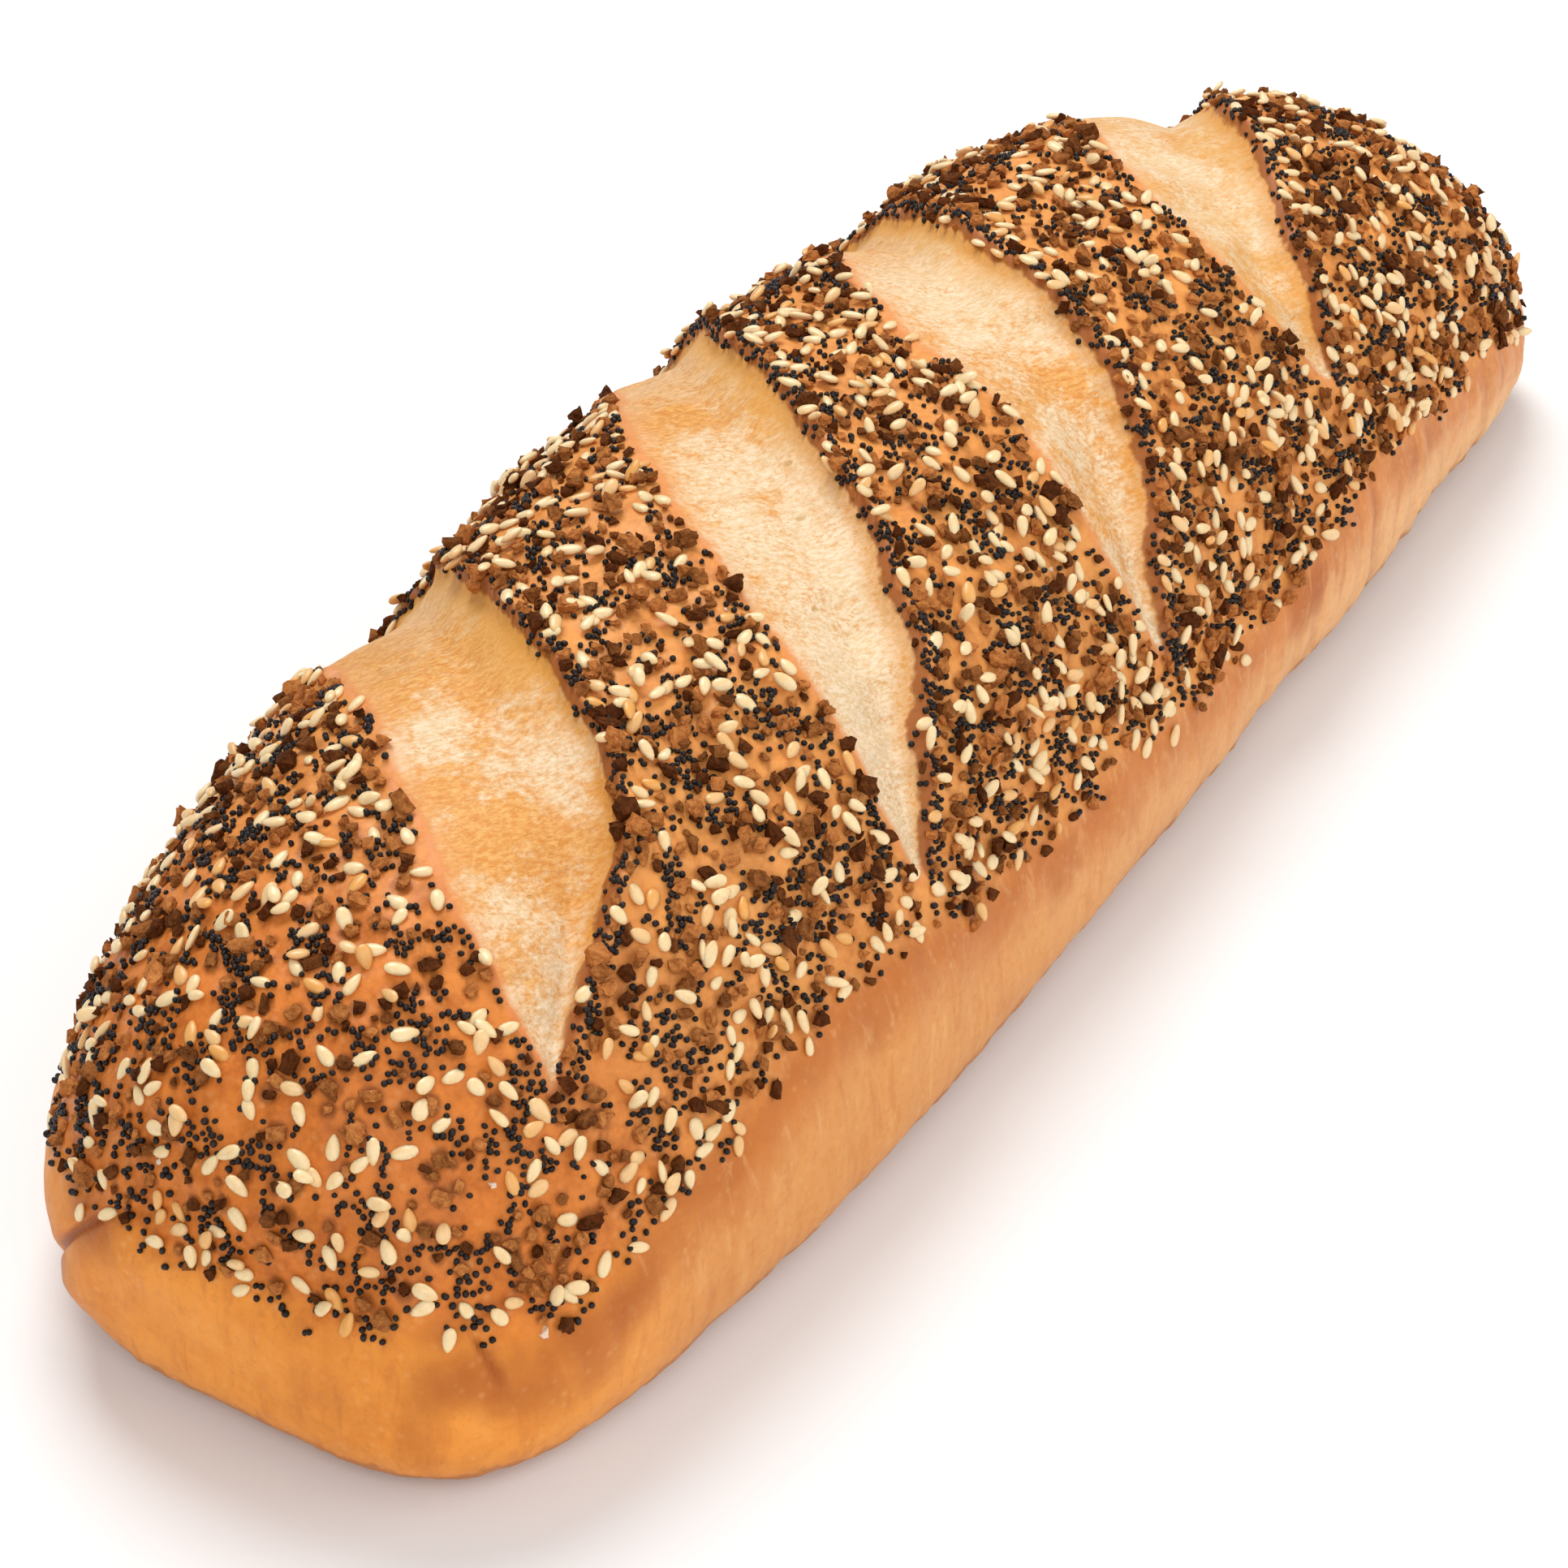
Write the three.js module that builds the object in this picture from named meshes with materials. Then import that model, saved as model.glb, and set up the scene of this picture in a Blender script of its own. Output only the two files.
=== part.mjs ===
// A seeded bread loaf, baked free-standing: one solid with a flat base and four slashes across its top.
// Millimetres, +X along the loaf, +Z up. The origin is the middle of the base.
import * as THREE from 'three';
import { mergeVertices } from 'three/addons/utils/BufferGeometryUtils.js';

// Overall size of the baked dough.
const LENGTH = 334;
const WIDTH = 114;
const HEIGHT = 72;

// The loaf is widest a little above the table, and its lower edge rounds in under it.
const WIDEST_HEIGHT = 12;
const TUCK = 10;

// How quickly the outline closes at each corner: a small power is a square corner, a large one a round one.
const CORNER_POWER = { nearFront: 0.4, nearBack: 0.6, farFront: 0.4, farBack: 0.3 };
const CROWN_POWER = 0.55;
const ARCH_POWER = 2 / 2.2;

// The hand-shaped dough isn't even: its width and crown drift from the near end to the far end.
const WIDTH_DRIFT = { tilt: -0.06, fullness: 0.1 };
const CROWN_DRIFT = { tilt: -0.09, fullness: 0.16 };

// The middle line bows to one side and has a slight S in it. SIDE_SHIFT brings the whole back to the middle.
const BOW = 8.5;
const S_BEND = -6;
const SIDE_SHIFT = -7.2;

// Each slash is a leaf-shaped opening. Its outline is a table from the front to the back:
// the distance from the middle line, where the near lip is and where the far lip is.
const SLASHES = [
  [[-41.5, -133, -130], [-30.5, -128, -102], [-19.5, -123, -89.5], [-9.5, -116, -83], [1, -109, -77],
    [11, -100.5, -70.5], [21, -92.5, -65], [31, -85, -57.5], [40.5, -77, -51.5], [48.5, -68.5, -46],
    [54.5, -58, -42.5], [57.5, -52, -42]],
  [[-52.5, -62.5, -60], [-40.5, -60.5, -42], [-30.5, -57.5, -32.5], [-19.5, -53, -23.5],
    [-9.5, -47.5, -17.5], [1, -41.5, -10.5], [11, -33.5, -3], [21, -24.5, 4], [31, -14, 12],
    [40.5, -2, 19.5], [48.5, 7.5, 25], [54.5, 16, 29], [57.5, 23, 29.5]],
  [[-51.5, 8, 11], [-40.5, 7.5, 25], [-30.5, 8.8, 34], [-19.5, 12.5, 39.5], [-9.5, 16, 44],
    [1, 20.5, 49], [11, 27, 53.5], [21, 35, 59], [31, 45, 65], [40.5, 55, 70.5], [48.5, 63, 75],
    [54.5, 70, 78.5], [57.5, 75, 79.5]],
  [[-43.5, 78.5, 81], [-38.5, 75.5, 85], [-30.5, 74.2, 91.5], [-19.5, 76.5, 103], [-9.5, 82.3, 114.5],
    [1, 89.5, 124.5], [11, 98.5, 138.5], [21, 110.5, 156], [31, 122.5, 164.5], [40.5, 134.5, 167],
    [48.5, 143.5, 167], [53.5, 151.5, 165]],
];
const SLASH_OPEN_WIDTH = 12;
const SLASH_OPEN_POWER = 0.7;
const SLASH_DEPTH = 4.2;

// Down the back a slash closes to a point between these two heights, and it grows shallower towards that end.
const SLASH_END_HEIGHTS = [30, 52];
const SLASH_SHALLOWS = { from: 18, to: 48, share: 0.45 };

// How finely the surface is divided, along the loaf and round it.
const ROWS = 104;
const ROW_EASE = 0.25;
const ARCH_STEPS = 28;
const TUCK_STEPS = 3;

// The base's triangles meet on its middle line, which stops short of the two blunt ends.
const BASE_FAN = 45;

const CRUST = new THREE.MeshStandardMaterial({ color: 0xcd8a4e, roughness: 0.6, metalness: 0 });

function smoothArch(x) {
  return 1 - x * x;
}

function middleLine(along) {
  return SIDE_SHIFT + BOW * smoothArch(along) - S_BEND * along * smoothArch(along);
}

// One cross-section: the place along the loaf, the half widths on both sides and the height of the crown.
// step runs from -1 at the near end to 1 at the far end, and its ease packs more rows into the round ends.
function crossSection(step) {
  const eased = step * (1 + ROW_EASE * smoothArch(step));
  const along = Math.sin(eased * Math.PI / 2);
  const closing = Math.sqrt(Math.max(0, smoothArch(along)));
  const drift = WIDTH_DRIFT.tilt * eased + WIDTH_DRIFT.fullness * eased * eased;
  const crownDrift = CROWN_DRIFT.tilt * eased + CROWN_DRIFT.fullness * eased * eased;
  const frontPower = eased < 0 ? CORNER_POWER.nearFront : CORNER_POWER.farFront;
  const backPower = eased < 0 ? CORNER_POWER.nearBack : CORNER_POWER.farBack;
  return {
    along,
    middle: middleLine(along),
    front: WIDTH / 2 * closing ** frontPower * Math.exp(drift),
    back: WIDTH / 2 * closing ** backPower * Math.exp(drift),
    rise: (HEIGHT - WIDEST_HEIGHT) * closing ** CROWN_POWER * Math.exp(crownDrift),
  };
}

// A point of the arch above the widest line, at an angle from the front (0) over the crown to the back (PI).
function archPoint(section, angle) {
  const side = Math.cos(angle);
  const halfWidth = side > 0 ? section.front : section.back;
  const out = -Math.sign(side) * halfWidth * Math.abs(side) ** ARCH_POWER;
  const up = section.rise * Math.max(0, Math.sin(angle)) ** ARCH_POWER;
  return new THREE.Vector3(section.along * LENGTH / 2, section.middle + out, WIDEST_HEIGHT + up);
}

// A point of the rounded lower edge, from the widest line (turn 0) in to the flat base (turn PI / 2).
function tuckPoint(section, turn, side) {
  const inset = TUCK * (1 - Math.cos(turn));
  const halfWidth = side < 0 ? section.front : section.back;
  return new THREE.Vector3(
    section.along * (LENGTH / 2 - inset),
    section.middle + side * halfWidth * (1 - inset / (WIDTH / 2)),
    WIDEST_HEIGHT * (1 - Math.sin(turn)),
  );
}

// The point of the base's middle line that a cross-section's lower edge is joined to.
function basePoint(section) {
  const reach = 1 - 2 * BASE_FAN / LENGTH;
  const along = THREE.MathUtils.clamp(section.along, -reach, reach);
  return new THREE.Vector3(along * LENGTH / 2, middleLine(along), 0);
}

// The near and the far lip of a slash at a distance y from the middle line, or null past its ends.
function lipsAt(outline, y) {
  const next = outline.findIndex(([row]) => row > y);
  if (next < 1) {
    return null;
  }
  const [before, after] = [outline[next - 1], outline[next]];
  const share = (y - before[0]) / (after[0] - before[0]);
  return [1, 2].map((lip) => before[lip] + share * (after[lip] - before[lip]));
}

// How deep the slashes lie under the crust at a point of it.
function slashDepth({ x, y, z }) {
  const { from, to, share } = SLASH_SHALLOWS;
  const shallowing = 1 - share * THREE.MathUtils.smoothstep(y, from, to);
  const closing = y > 0 ? Math.sqrt(THREE.MathUtils.smoothstep(z, ...SLASH_END_HEIGHTS)) : 1;
  let depth = 0;
  for (const outline of SLASHES) {
    const lips = lipsAt(outline, y);
    const halfWidth = lips ? (lips[1] - lips[0]) / 2 * closing : 0;
    const across = halfWidth > 0 ? (x - (lips[0] + lips[1]) / 2) / halfWidth : Infinity;
    if (Math.abs(across) < 1) {
      const openness = Math.min(1, halfWidth / SLASH_OPEN_WIDTH) ** SLASH_OPEN_POWER;
      depth += SLASH_DEPTH * openness * shallowing * smoothArch(across);
    }
  }
  return depth;
}

// Moves a point of the arch in by the slash depth, towards the middle of its section.
function sinkIntoSlash(point, section) {
  const depth = slashDepth(point);
  const inward = new THREE.Vector3(0, section.middle - point.y, WIDEST_HEIGHT - point.z);
  return depth > 0 ? point.addScaledVector(inward.normalize(), depth) : point;
}

// The ring of points round one cross-section: the base, its front edge, over the top, its back edge.
function ring(step) {
  const section = crossSection(step);
  const points = [basePoint(section)];
  for (let i = TUCK_STEPS; i > 0; i -= 1) {
    points.push(tuckPoint(section, i / TUCK_STEPS * Math.PI / 2, -1));
  }
  for (let i = 0; i <= ARCH_STEPS; i += 1) {
    points.push(sinkIntoSlash(archPoint(section, i / ARCH_STEPS * Math.PI), section));
  }
  for (let i = 1; i <= TUCK_STEPS; i += 1) {
    points.push(tuckPoint(section, i / TUCK_STEPS * Math.PI / 2, 1));
  }
  return points;
}

// Drops the triangles that have no area, which the closing rings leave at the two ends.
function withoutSlivers(geometry) {
  const index = geometry.index.array;
  const kept = [];
  for (let i = 0; i < index.length; i += 3) {
    const [a, b, c] = index.slice(i, i + 3);
    if (a !== b && b !== c && c !== a) {
      kept.push(a, b, c);
    }
  }
  geometry.setIndex(kept);
  return geometry;
}

// The closed skin: rings joined to their neighbours.
function loafGeometry() {
  const positions = [];
  const triangles = [];
  const ringSize = ARCH_STEPS + 2 + 2 * TUCK_STEPS;
  for (let row = 0; row <= ROWS; row += 1) {
    ring(row / ROWS * 2 - 1).forEach((point) => positions.push(point.x, point.y, point.z));
  }
  for (let row = 0; row < ROWS; row += 1) {
    for (let i = 0; i < ringSize; i += 1) {
      const next = (i + 1) % ringSize;
      const [a, b] = [row * ringSize + i, row * ringSize + next];
      const [c, d] = [a + ringSize, b + ringSize];
      triangles.push(a, c, b, b, c, d);
    }
  }
  const skin = new THREE.BufferGeometry();
  skin.setAttribute('position', new THREE.Float32BufferAttribute(positions, 3));
  skin.setIndex(triangles);
  const closed = withoutSlivers(mergeVertices(skin, 0.001));
  closed.computeBoundingBox();
  const middle = closed.boundingBox.getCenter(new THREE.Vector3());
  closed.translate(-middle.x, -middle.y, 0);
  closed.computeVertexNormals();
  return closed;
}

const loaf = new THREE.Mesh(loafGeometry(), CRUST);
loaf.name = 'loaf';

const part = new THREE.Group();
part.add(loaf);
export default part;
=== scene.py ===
# %% [markdown]
# # A seeded bread loaf
# A long white loaf, baked free-standing on its flat base. Four cuts opened across its top in the oven,
# and the crust between them is crowded with sesame, poppy seeds and toasted crumbs.
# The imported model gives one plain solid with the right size. This lesson builds the fine surface of the
# dough over it, then scatters the toppings as real little meshes, and gives each its own finish.

# %% Load the frame
import itertools
import math
import bmesh
import bpy
import numpy as np
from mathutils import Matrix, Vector
from mathutils.kdtree import KDTree


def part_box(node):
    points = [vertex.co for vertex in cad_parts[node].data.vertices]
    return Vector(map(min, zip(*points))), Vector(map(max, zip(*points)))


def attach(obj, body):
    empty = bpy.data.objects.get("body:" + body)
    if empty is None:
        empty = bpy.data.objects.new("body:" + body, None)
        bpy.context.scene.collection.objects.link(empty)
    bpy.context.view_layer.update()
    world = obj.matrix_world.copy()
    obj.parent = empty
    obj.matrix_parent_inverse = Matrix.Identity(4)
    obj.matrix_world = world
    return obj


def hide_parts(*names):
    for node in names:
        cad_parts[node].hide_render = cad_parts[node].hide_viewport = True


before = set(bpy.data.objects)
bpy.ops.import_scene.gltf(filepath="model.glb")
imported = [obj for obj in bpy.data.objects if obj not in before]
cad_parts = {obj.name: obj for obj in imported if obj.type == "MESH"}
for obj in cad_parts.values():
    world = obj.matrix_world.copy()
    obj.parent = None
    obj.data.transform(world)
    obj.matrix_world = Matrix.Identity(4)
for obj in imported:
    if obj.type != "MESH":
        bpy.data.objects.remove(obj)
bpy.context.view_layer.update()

MM = 0.001
loaf_low, loaf_high = (np.array(corner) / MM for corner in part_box("loaf"))
print("loaf box in mm:", loaf_low.round(1), loaf_high.round(1))

# %% [markdown]
# ## Camera, table and light
# A product picture of bread is taken with a long lens from above one end, so that the loaf runs away
# from the viewer. The camera goes in first: every later choice is judged through it.
# The light is a big soft window over the table and a white room round it. Soft light keeps the thousands
# of small grains readable, because a hard lamp would give each one a black shadow.

# %% Camera
VIEW_AZIMUTH = -57.6
VIEW_ELEVATION = 36.5
VIEW_DISTANCE = 632
LENS_MM = 101
SENSOR_MM = 36
FARTHEST_SEEN = 20
LOOK_AT = np.array([-42.0, -16.9, 30.0])


def direction(azimuth, elevation):
    """The unit vector that points from the loaf towards a place round it, in degrees."""
    turn, rise = math.radians(azimuth), math.radians(elevation)
    flat = math.cos(rise)
    return np.array([math.sin(turn) * flat, -math.cos(turn) * flat, math.sin(rise)])


def aim(thing, place, target):
    """Puts a camera or lamp at a place and points it at a target, both in millimetres."""
    thing.location = Vector(place * MM)
    thing.rotation_euler = Vector((target - place) * MM).to_track_quat("-Z", "Y").to_euler()


camera = bpy.data.objects.new("camera", bpy.data.cameras.new("camera"))
camera.data.lens = LENS_MM
camera.data.sensor_width = SENSOR_MM
camera.data.clip_end = FARTHEST_SEEN
bpy.context.collection.objects.link(camera)
aim(camera, LOOK_AT + VIEW_DISTANCE * direction(VIEW_AZIMUTH, VIEW_ELEVATION), LOOK_AT)
bpy.context.scene.camera = camera
bpy.context.scene.view_settings.view_transform = "Standard"
print("camera at", [round(c, 3) for c in camera.location])

# %% Lamps
LAMPS = {
    "window": {"azimuth": 140, "elevation": 60, "distance": 1300, "size": 0.8, "watts": 13},
    "end_fill": {"azimuth": -60, "elevation": 35, "distance": 1500, "size": 1.5, "watts": 11},
    "side_fill": {"azimuth": 20, "elevation": 30, "distance": 1500, "size": 1.5, "watts": 8},
}
ROOM_BRIGHTNESS = 0.36

for name, lamp in LAMPS.items():
    light = bpy.data.lights.new(name, "AREA")
    light.shape = "DISK"
    light.size = lamp["size"]
    light.energy = lamp["watts"]
    holder = bpy.data.objects.new(name, light)
    bpy.context.collection.objects.link(holder)
    aim(holder, lamp["distance"] * direction(lamp["azimuth"], lamp["elevation"]), np.zeros(3))

room = bpy.data.worlds.new("white room")
room.use_nodes = True
room.node_tree.nodes["Background"].inputs["Color"].default_value = (1, 1, 1, 1)
room.node_tree.nodes["Background"].inputs["Strength"].default_value = ROOM_BRIGHTNESS
bpy.context.scene.world = room
print("lamps:", ", ".join(LAMPS))

# %% [markdown]
# ## Helpers for meshes and for nodes
# A mesh with a hundred thousand faces is slow to make from Python lists, so its numbers go in as whole
# arrays. Surface unevenness comes from sums of sine waves with random directions: smooth, repeatable,
# and with one clear wavelength, which makes it easy to say how big a lump or a wrinkle is.
# Materials are written as code too. One small function adds a node and feeds its sockets, so that
# a material reads as a list of steps.

# %% Mesh helpers
random = np.random.default_rng(20)
WAVE_COUNT = 22
WAVE_SPREAD = (0.7, 1.4)


def waves(points, wavelength, seed):
    """Smooth noise of about -1 to 1 at each point, with bumps about half a wavelength wide."""
    dice = np.random.default_rng(seed)
    ways = dice.normal(size=(WAVE_COUNT, 3))
    ways /= np.linalg.norm(ways, axis=1, keepdims=True)
    ways *= 2 * math.pi / wavelength * dice.uniform(*WAVE_SPREAD, (WAVE_COUNT, 1))
    phase = dice.uniform(0, 2 * math.pi, WAVE_COUNT)
    return np.sin(points @ ways.T + phase).sum(axis=1) / math.sqrt(WAVE_COUNT)


def uneven(points, layers):
    """A sum of waves, each layer given as its height, its wavelength and its seed."""
    return sum(height * waves(points, wavelength, seed) for height, wavelength, seed in layers)


def smooth_step(value, low, high):
    """0 below low, 1 above high, and a soft turn between."""
    part = np.clip((value - low) / (high - low), 0, 1)
    return part * part * (3 - 2 * part)


def bell(distance, width):
    """1 at no distance, fading to almost nothing at twice the width."""
    return np.exp(-(distance / width) ** 2)


def mesh_piece(name, points, face_sets, smooth=True):
    """A linked mesh object from points in millimetres and one face array for each number of corners."""
    mesh = bpy.data.meshes.new(name)
    corners = np.concatenate([faces.ravel() for faces in face_sets])
    counts = np.concatenate([np.full(len(faces), faces.shape[1]) for faces in face_sets])
    mesh.vertices.add(len(points))
    mesh.vertices.foreach_set("co", (points * MM).astype(np.float32).ravel())
    mesh.loops.add(len(corners))
    mesh.loops.foreach_set("vertex_index", corners.astype(np.int32))
    mesh.polygons.add(len(counts))
    mesh.polygons.foreach_set("loop_start", np.concatenate([[0], np.cumsum(counts)[:-1]]).astype(np.int32))
    mesh.polygons.foreach_set("use_smooth", np.full(len(counts), smooth))
    mesh.update(calc_edges=True)
    mesh.validate()
    piece = bpy.data.objects.new(name, mesh)
    bpy.context.collection.objects.link(piece)
    return piece


def paint(piece, name, values):
    """Stores one number for each vertex, for a material to read by name."""
    layer = piece.data.attributes.new(name, "FLOAT", "POINT")
    layer.data.foreach_set("value", values.astype(np.float32))


def vertex_normals(piece):
    """The normal at each vertex, as rows of an array."""
    found = np.empty(len(piece.data.vertices) * 3, np.float32)
    piece.data.vertices.foreach_get("normal", found)
    return found.reshape(-1, 3).astype(float)


# %% Node helpers
PATCH_PER_WAVE = 0.6


def feed(tree, node, feeds):
    """Sets a node's inputs to numbers or colours, or links them to the sockets of other nodes."""
    for name, value in feeds.items():
        if isinstance(value, bpy.types.NodeSocket):
            tree.links.new(value, node.inputs[name])
        else:
            node.inputs[name].default_value = value


def put(tree, kind, feeds=None, out=0, **settings):
    """Adds a node, sets its options, feeds its inputs and returns one of its outputs."""
    node = tree.nodes.new(kind)
    for name, value in settings.items():
        setattr(node, name, value)
    feed(tree, node, feeds or {})
    return node.outputs[out]


def rgba(red, green, blue):
    """A colour as four numbers, the last one for a solid surface."""
    return (red, green, blue, 1)


def mixed(tree, share, first, second):
    """The first colour where share is 0, the second where it is 1."""
    return put(tree, "ShaderNodeMix", {"Factor": share, 6: first, 7: second}, out=2, data_type="RGBA")


def sum_of(tree, *terms, operation="ADD"):
    """All the terms added up, in a chain of maths nodes."""
    total = terms[0]
    for term in terms[1:]:
        total = put(tree, "ShaderNodeMath", {0: total, 1: term}, operation=operation)
    return total


def times(tree, *terms):
    """All the terms multiplied together."""
    return sum_of(tree, *terms, operation="MULTIPLY")


def between(tree, value, low, high, bottom=0.0, top=1.0):
    """Turns a value between low and high into one between bottom and top, with soft ends."""
    feeds = {"Value": value, "From Min": low, "From Max": high, "To Min": bottom, "To Max": top}
    return put(tree, "ShaderNodeMapRange", feeds, interpolation_type="SMOOTHSTEP")


def noise(tree, place, scale, detail, roughness, distortion=0.0):
    """A noise texture with about this many waves to the metre."""
    feeds = {"Vector": place, "Scale": scale, "Detail": detail, "Roughness": roughness,
             "Distortion": distortion}
    return put(tree, "ShaderNodeTexNoise", feeds)


def cloud(tree, place, size_mm, detail=3.0, roughness=0.55):
    """Soft noise with patches about this many millimetres across."""
    return noise(tree, place, PATCH_PER_WAVE / (size_mm * MM), detail, roughness)


def cells(tree, place, scale):
    """Round cells, about this many to the metre: the distance from the middle of the nearest one."""
    return put(tree, "ShaderNodeTexVoronoi", {"Vector": place, "Scale": scale})


def painted(tree, name):
    """A number that paint() stored."""
    return put(tree, "ShaderNodeAttribute", out=2, attribute_name=name)


def new_material(name):
    """A material with its node tree, its shader and a socket with the place on the object in metres."""
    material = bpy.data.materials.new(name)
    material.use_nodes = True
    tree = material.node_tree
    shader = tree.nodes["Principled BSDF"]
    place = put(tree, "ShaderNodeTexCoord", out=3)
    return material, tree, shader, place


def bumped(tree, height, depth_mm, before=None):
    """A normal that follows a height, at this many millimetres for a height of 1."""
    feeds = {"Height": height, "Distance": depth_mm * MM}
    if before is not None:
        feeds["Normal"] = before
    return put(tree, "ShaderNodeBump", feeds)


print("helpers ready")

# %% [markdown]
# ## Table
# A plain pale table lets the loaf speak. One large square is enough; a little roughness keeps the
# shadow soft and free of reflections.

# %% Table
TABLE_HALF_WIDTH = 4000
TABLE_WHITE = rgba(0.86, 0.86, 0.86), rgba(0.89, 0.89, 0.89)
TABLE_PATCH = 300

corners = TABLE_HALF_WIDTH * np.array([[-1, -1, 0], [1, -1, 0], [1, 1, 0], [-1, 1, 0]], float)
table = mesh_piece("table", corners, [np.array([[0, 1, 2, 3]])], smooth=False)
table_finish, tree, shader, place = new_material("table white")
table_tint = mixed(tree, cloud(tree, place, TABLE_PATCH), *TABLE_WHITE)
feed(tree, shader, {"Base Color": table_tint, "Roughness": 0.9})
table.data.materials.append(table_finish)
print("table is", 2 * TABLE_HALF_WIDTH * MM, "m wide")

# %% [markdown]
# ## The shape of the dough
# The loaf is a row of cross-sections: an arch over a rounded lower edge over a flat base. The outline
# closes at the ends like a rounded rectangle, the middle line bows to one side and the crown is a little
# higher at the near end, as on any loaf shaped by hand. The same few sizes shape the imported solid, so
# the fine surface lies right on it. It could be sculpted from a cube, but a formula keeps the size exact
# and gives every point a known place along and round the loaf, which the crust and the toppings use.

# %% Outline of one cross-section
LENGTH = loaf_high[0] - loaf_low[0]
WIDTH = 114
HEIGHT = 72
WIDEST_HEIGHT = 12
TUCK = 10
CORNER_POWER = {"near_front": 0.4, "near_back": 0.6, "far_front": 0.4, "far_back": 0.3}
CROWN_POWER = 0.55
ARCH_POWER = 2 / 2.2
WIDTH_DRIFT = (-0.06, 0.1)
CROWN_DRIFT = (-0.09, 0.16)
BOW = 8.5
S_BEND = -6
SIDE_SHIFT = -7.2
ROW_EASE = 0.25


def middle_line(along):
    """How far the middle of the loaf lies to one side, for a place from -1 to 1 along it."""
    arch = 1 - along ** 2
    return SIDE_SHIFT + BOW * arch - S_BEND * along * arch


def cross_sections(steps):
    """For steps from -1 (near end) to 1 (far end): place along, middle, half widths, rise of the crown."""
    eased = steps * (1 + ROW_EASE * (1 - steps ** 2))
    along = np.sin(eased * math.pi / 2)
    closing = np.sqrt(np.clip(1 - along ** 2, 0, 1))
    drift = np.exp(WIDTH_DRIFT[0] * eased + WIDTH_DRIFT[1] * eased ** 2)
    crown_drift = np.exp(CROWN_DRIFT[0] * eased + CROWN_DRIFT[1] * eased ** 2)
    near = eased < 0
    front_power = np.where(near, CORNER_POWER["near_front"], CORNER_POWER["far_front"])
    back_power = np.where(near, CORNER_POWER["near_back"], CORNER_POWER["far_back"])
    return {
        "along": along,
        "middle": middle_line(along),
        "front": WIDTH / 2 * closing ** front_power * drift,
        "back": WIDTH / 2 * closing ** back_power * drift,
        "rise": (HEIGHT - WIDEST_HEIGHT) * closing ** CROWN_POWER * crown_drift,
    }


# %% Rings of points
ROWS = 410
ARCH_STEPS = 206
TUCK_STEPS = 9
BASE_STEPS = 9
SPINE_REACH = 0.74


def ring_points(section):
    """The rings of all sections: middle of the base, out to the front, over the top, back in from behind."""
    along, middle = section["along"][:, None], section["middle"][:, None]
    front, back, rise = (section[key][:, None] for key in ("front", "back", "rise"))

    angle = np.linspace(0, math.pi, ARCH_STEPS + 1)[None, :]
    side = np.cos(angle)
    out = -np.sign(side) * np.where(side > 0, front, back) * np.abs(side) ** ARCH_POWER
    arch = np.stack([along * LENGTH / 2 + 0 * side, middle + out,
                     WIDEST_HEIGHT + rise * np.clip(np.sin(angle), 0, 1) ** ARCH_POWER], axis=2)

    turn = np.linspace(0, math.pi / 2, TUCK_STEPS + 1)[None, 1:]
    inset = TUCK * (1 - np.cos(turn))
    lower = []
    for half, sign in ((front, -1), (back, 1)):
        across = middle + sign * half * (1 - inset / (WIDTH / 2))
        lower.append(np.stack([along * (LENGTH / 2 - inset), across,
                               WIDEST_HEIGHT * (1 - np.sin(turn)) + 0 * across], axis=2))

    spine_along = along * SPINE_REACH
    spine = np.stack([spine_along * LENGTH / 2, middle_line(spine_along), 0 * along], axis=2)
    share = (np.arange(BASE_STEPS) / BASE_STEPS)[None, :, None]
    base = [spine + (edge[:, -1:] - spine) * share for edge in lower]
    return np.concatenate([base[0], lower[0][:, ::-1], arch, lower[1], base[1][:, :0:-1]], axis=1)


section = cross_sections(np.linspace(-1, 1, ROWS + 1))
rings = ring_points(section)
RING = rings.shape[1]
middle_shift = (rings[:, :, 1].max() + rings[:, :, 1].min()) / 2
rings[:, :, 1] -= middle_shift
print("rings:", rings.shape, "shifted by", round(middle_shift, 3), "mm")

# %% Join the rings into one closed skin
ARCH_START = BASE_STEPS + TUCK_STEPS
ARCH_END = ARCH_START + ARCH_STEPS
number = np.arange((ROWS + 1) * RING).reshape(ROWS + 1, RING)
# At both ends the ring has closed to a line, so its points share numbers with their mirror points.
for row in (0, ROWS):
    columns = np.arange(RING)
    mirrored = np.minimum(columns, RING - columns)
    mirrored[ARCH_START:ARCH_END + 1] = ARCH_START
    number[row] = number[row][mirrored]
used, compact = np.unique(number, return_inverse=True)
number = compact.reshape(number.shape)
points = rings.reshape(-1, 3)[used]

following = np.roll(number, -1, axis=1)
quads = np.stack([number[:-1], number[1:], following[1:], following[:-1]], axis=2).reshape(-1, 4)
repeats = np.array([len(set(face)) for face in quads])
end_triangles = np.array([list(dict.fromkeys(face)) for face in quads[repeats == 3]])
quads = quads[repeats == 4]
loaf = mesh_piece("loaf_crust", points, [quads, end_triangles])
crust_normals = vertex_normals(loaf)
print(len(points), "points,", len(quads), "quads,", len(end_triangles), "end triangles")

# %% [markdown]
# ## The four cuts
# The baker draws a blade slantwise across the dough, and in the oven each cut opens into a leaf shape.
# Its near lip stays level with the new surface, its far lip lifts into a thin toasted edge. Each outline
# is a short table: at each distance from the middle line, where the near and the far lip are. For every
# point of the skin we keep how far it lies inside the nearest cut in millimetres, and how far across it
# lies, from -1 at the near lip to 1 at the far lip. Both go on the mesh, because the finish needs them too.

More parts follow.
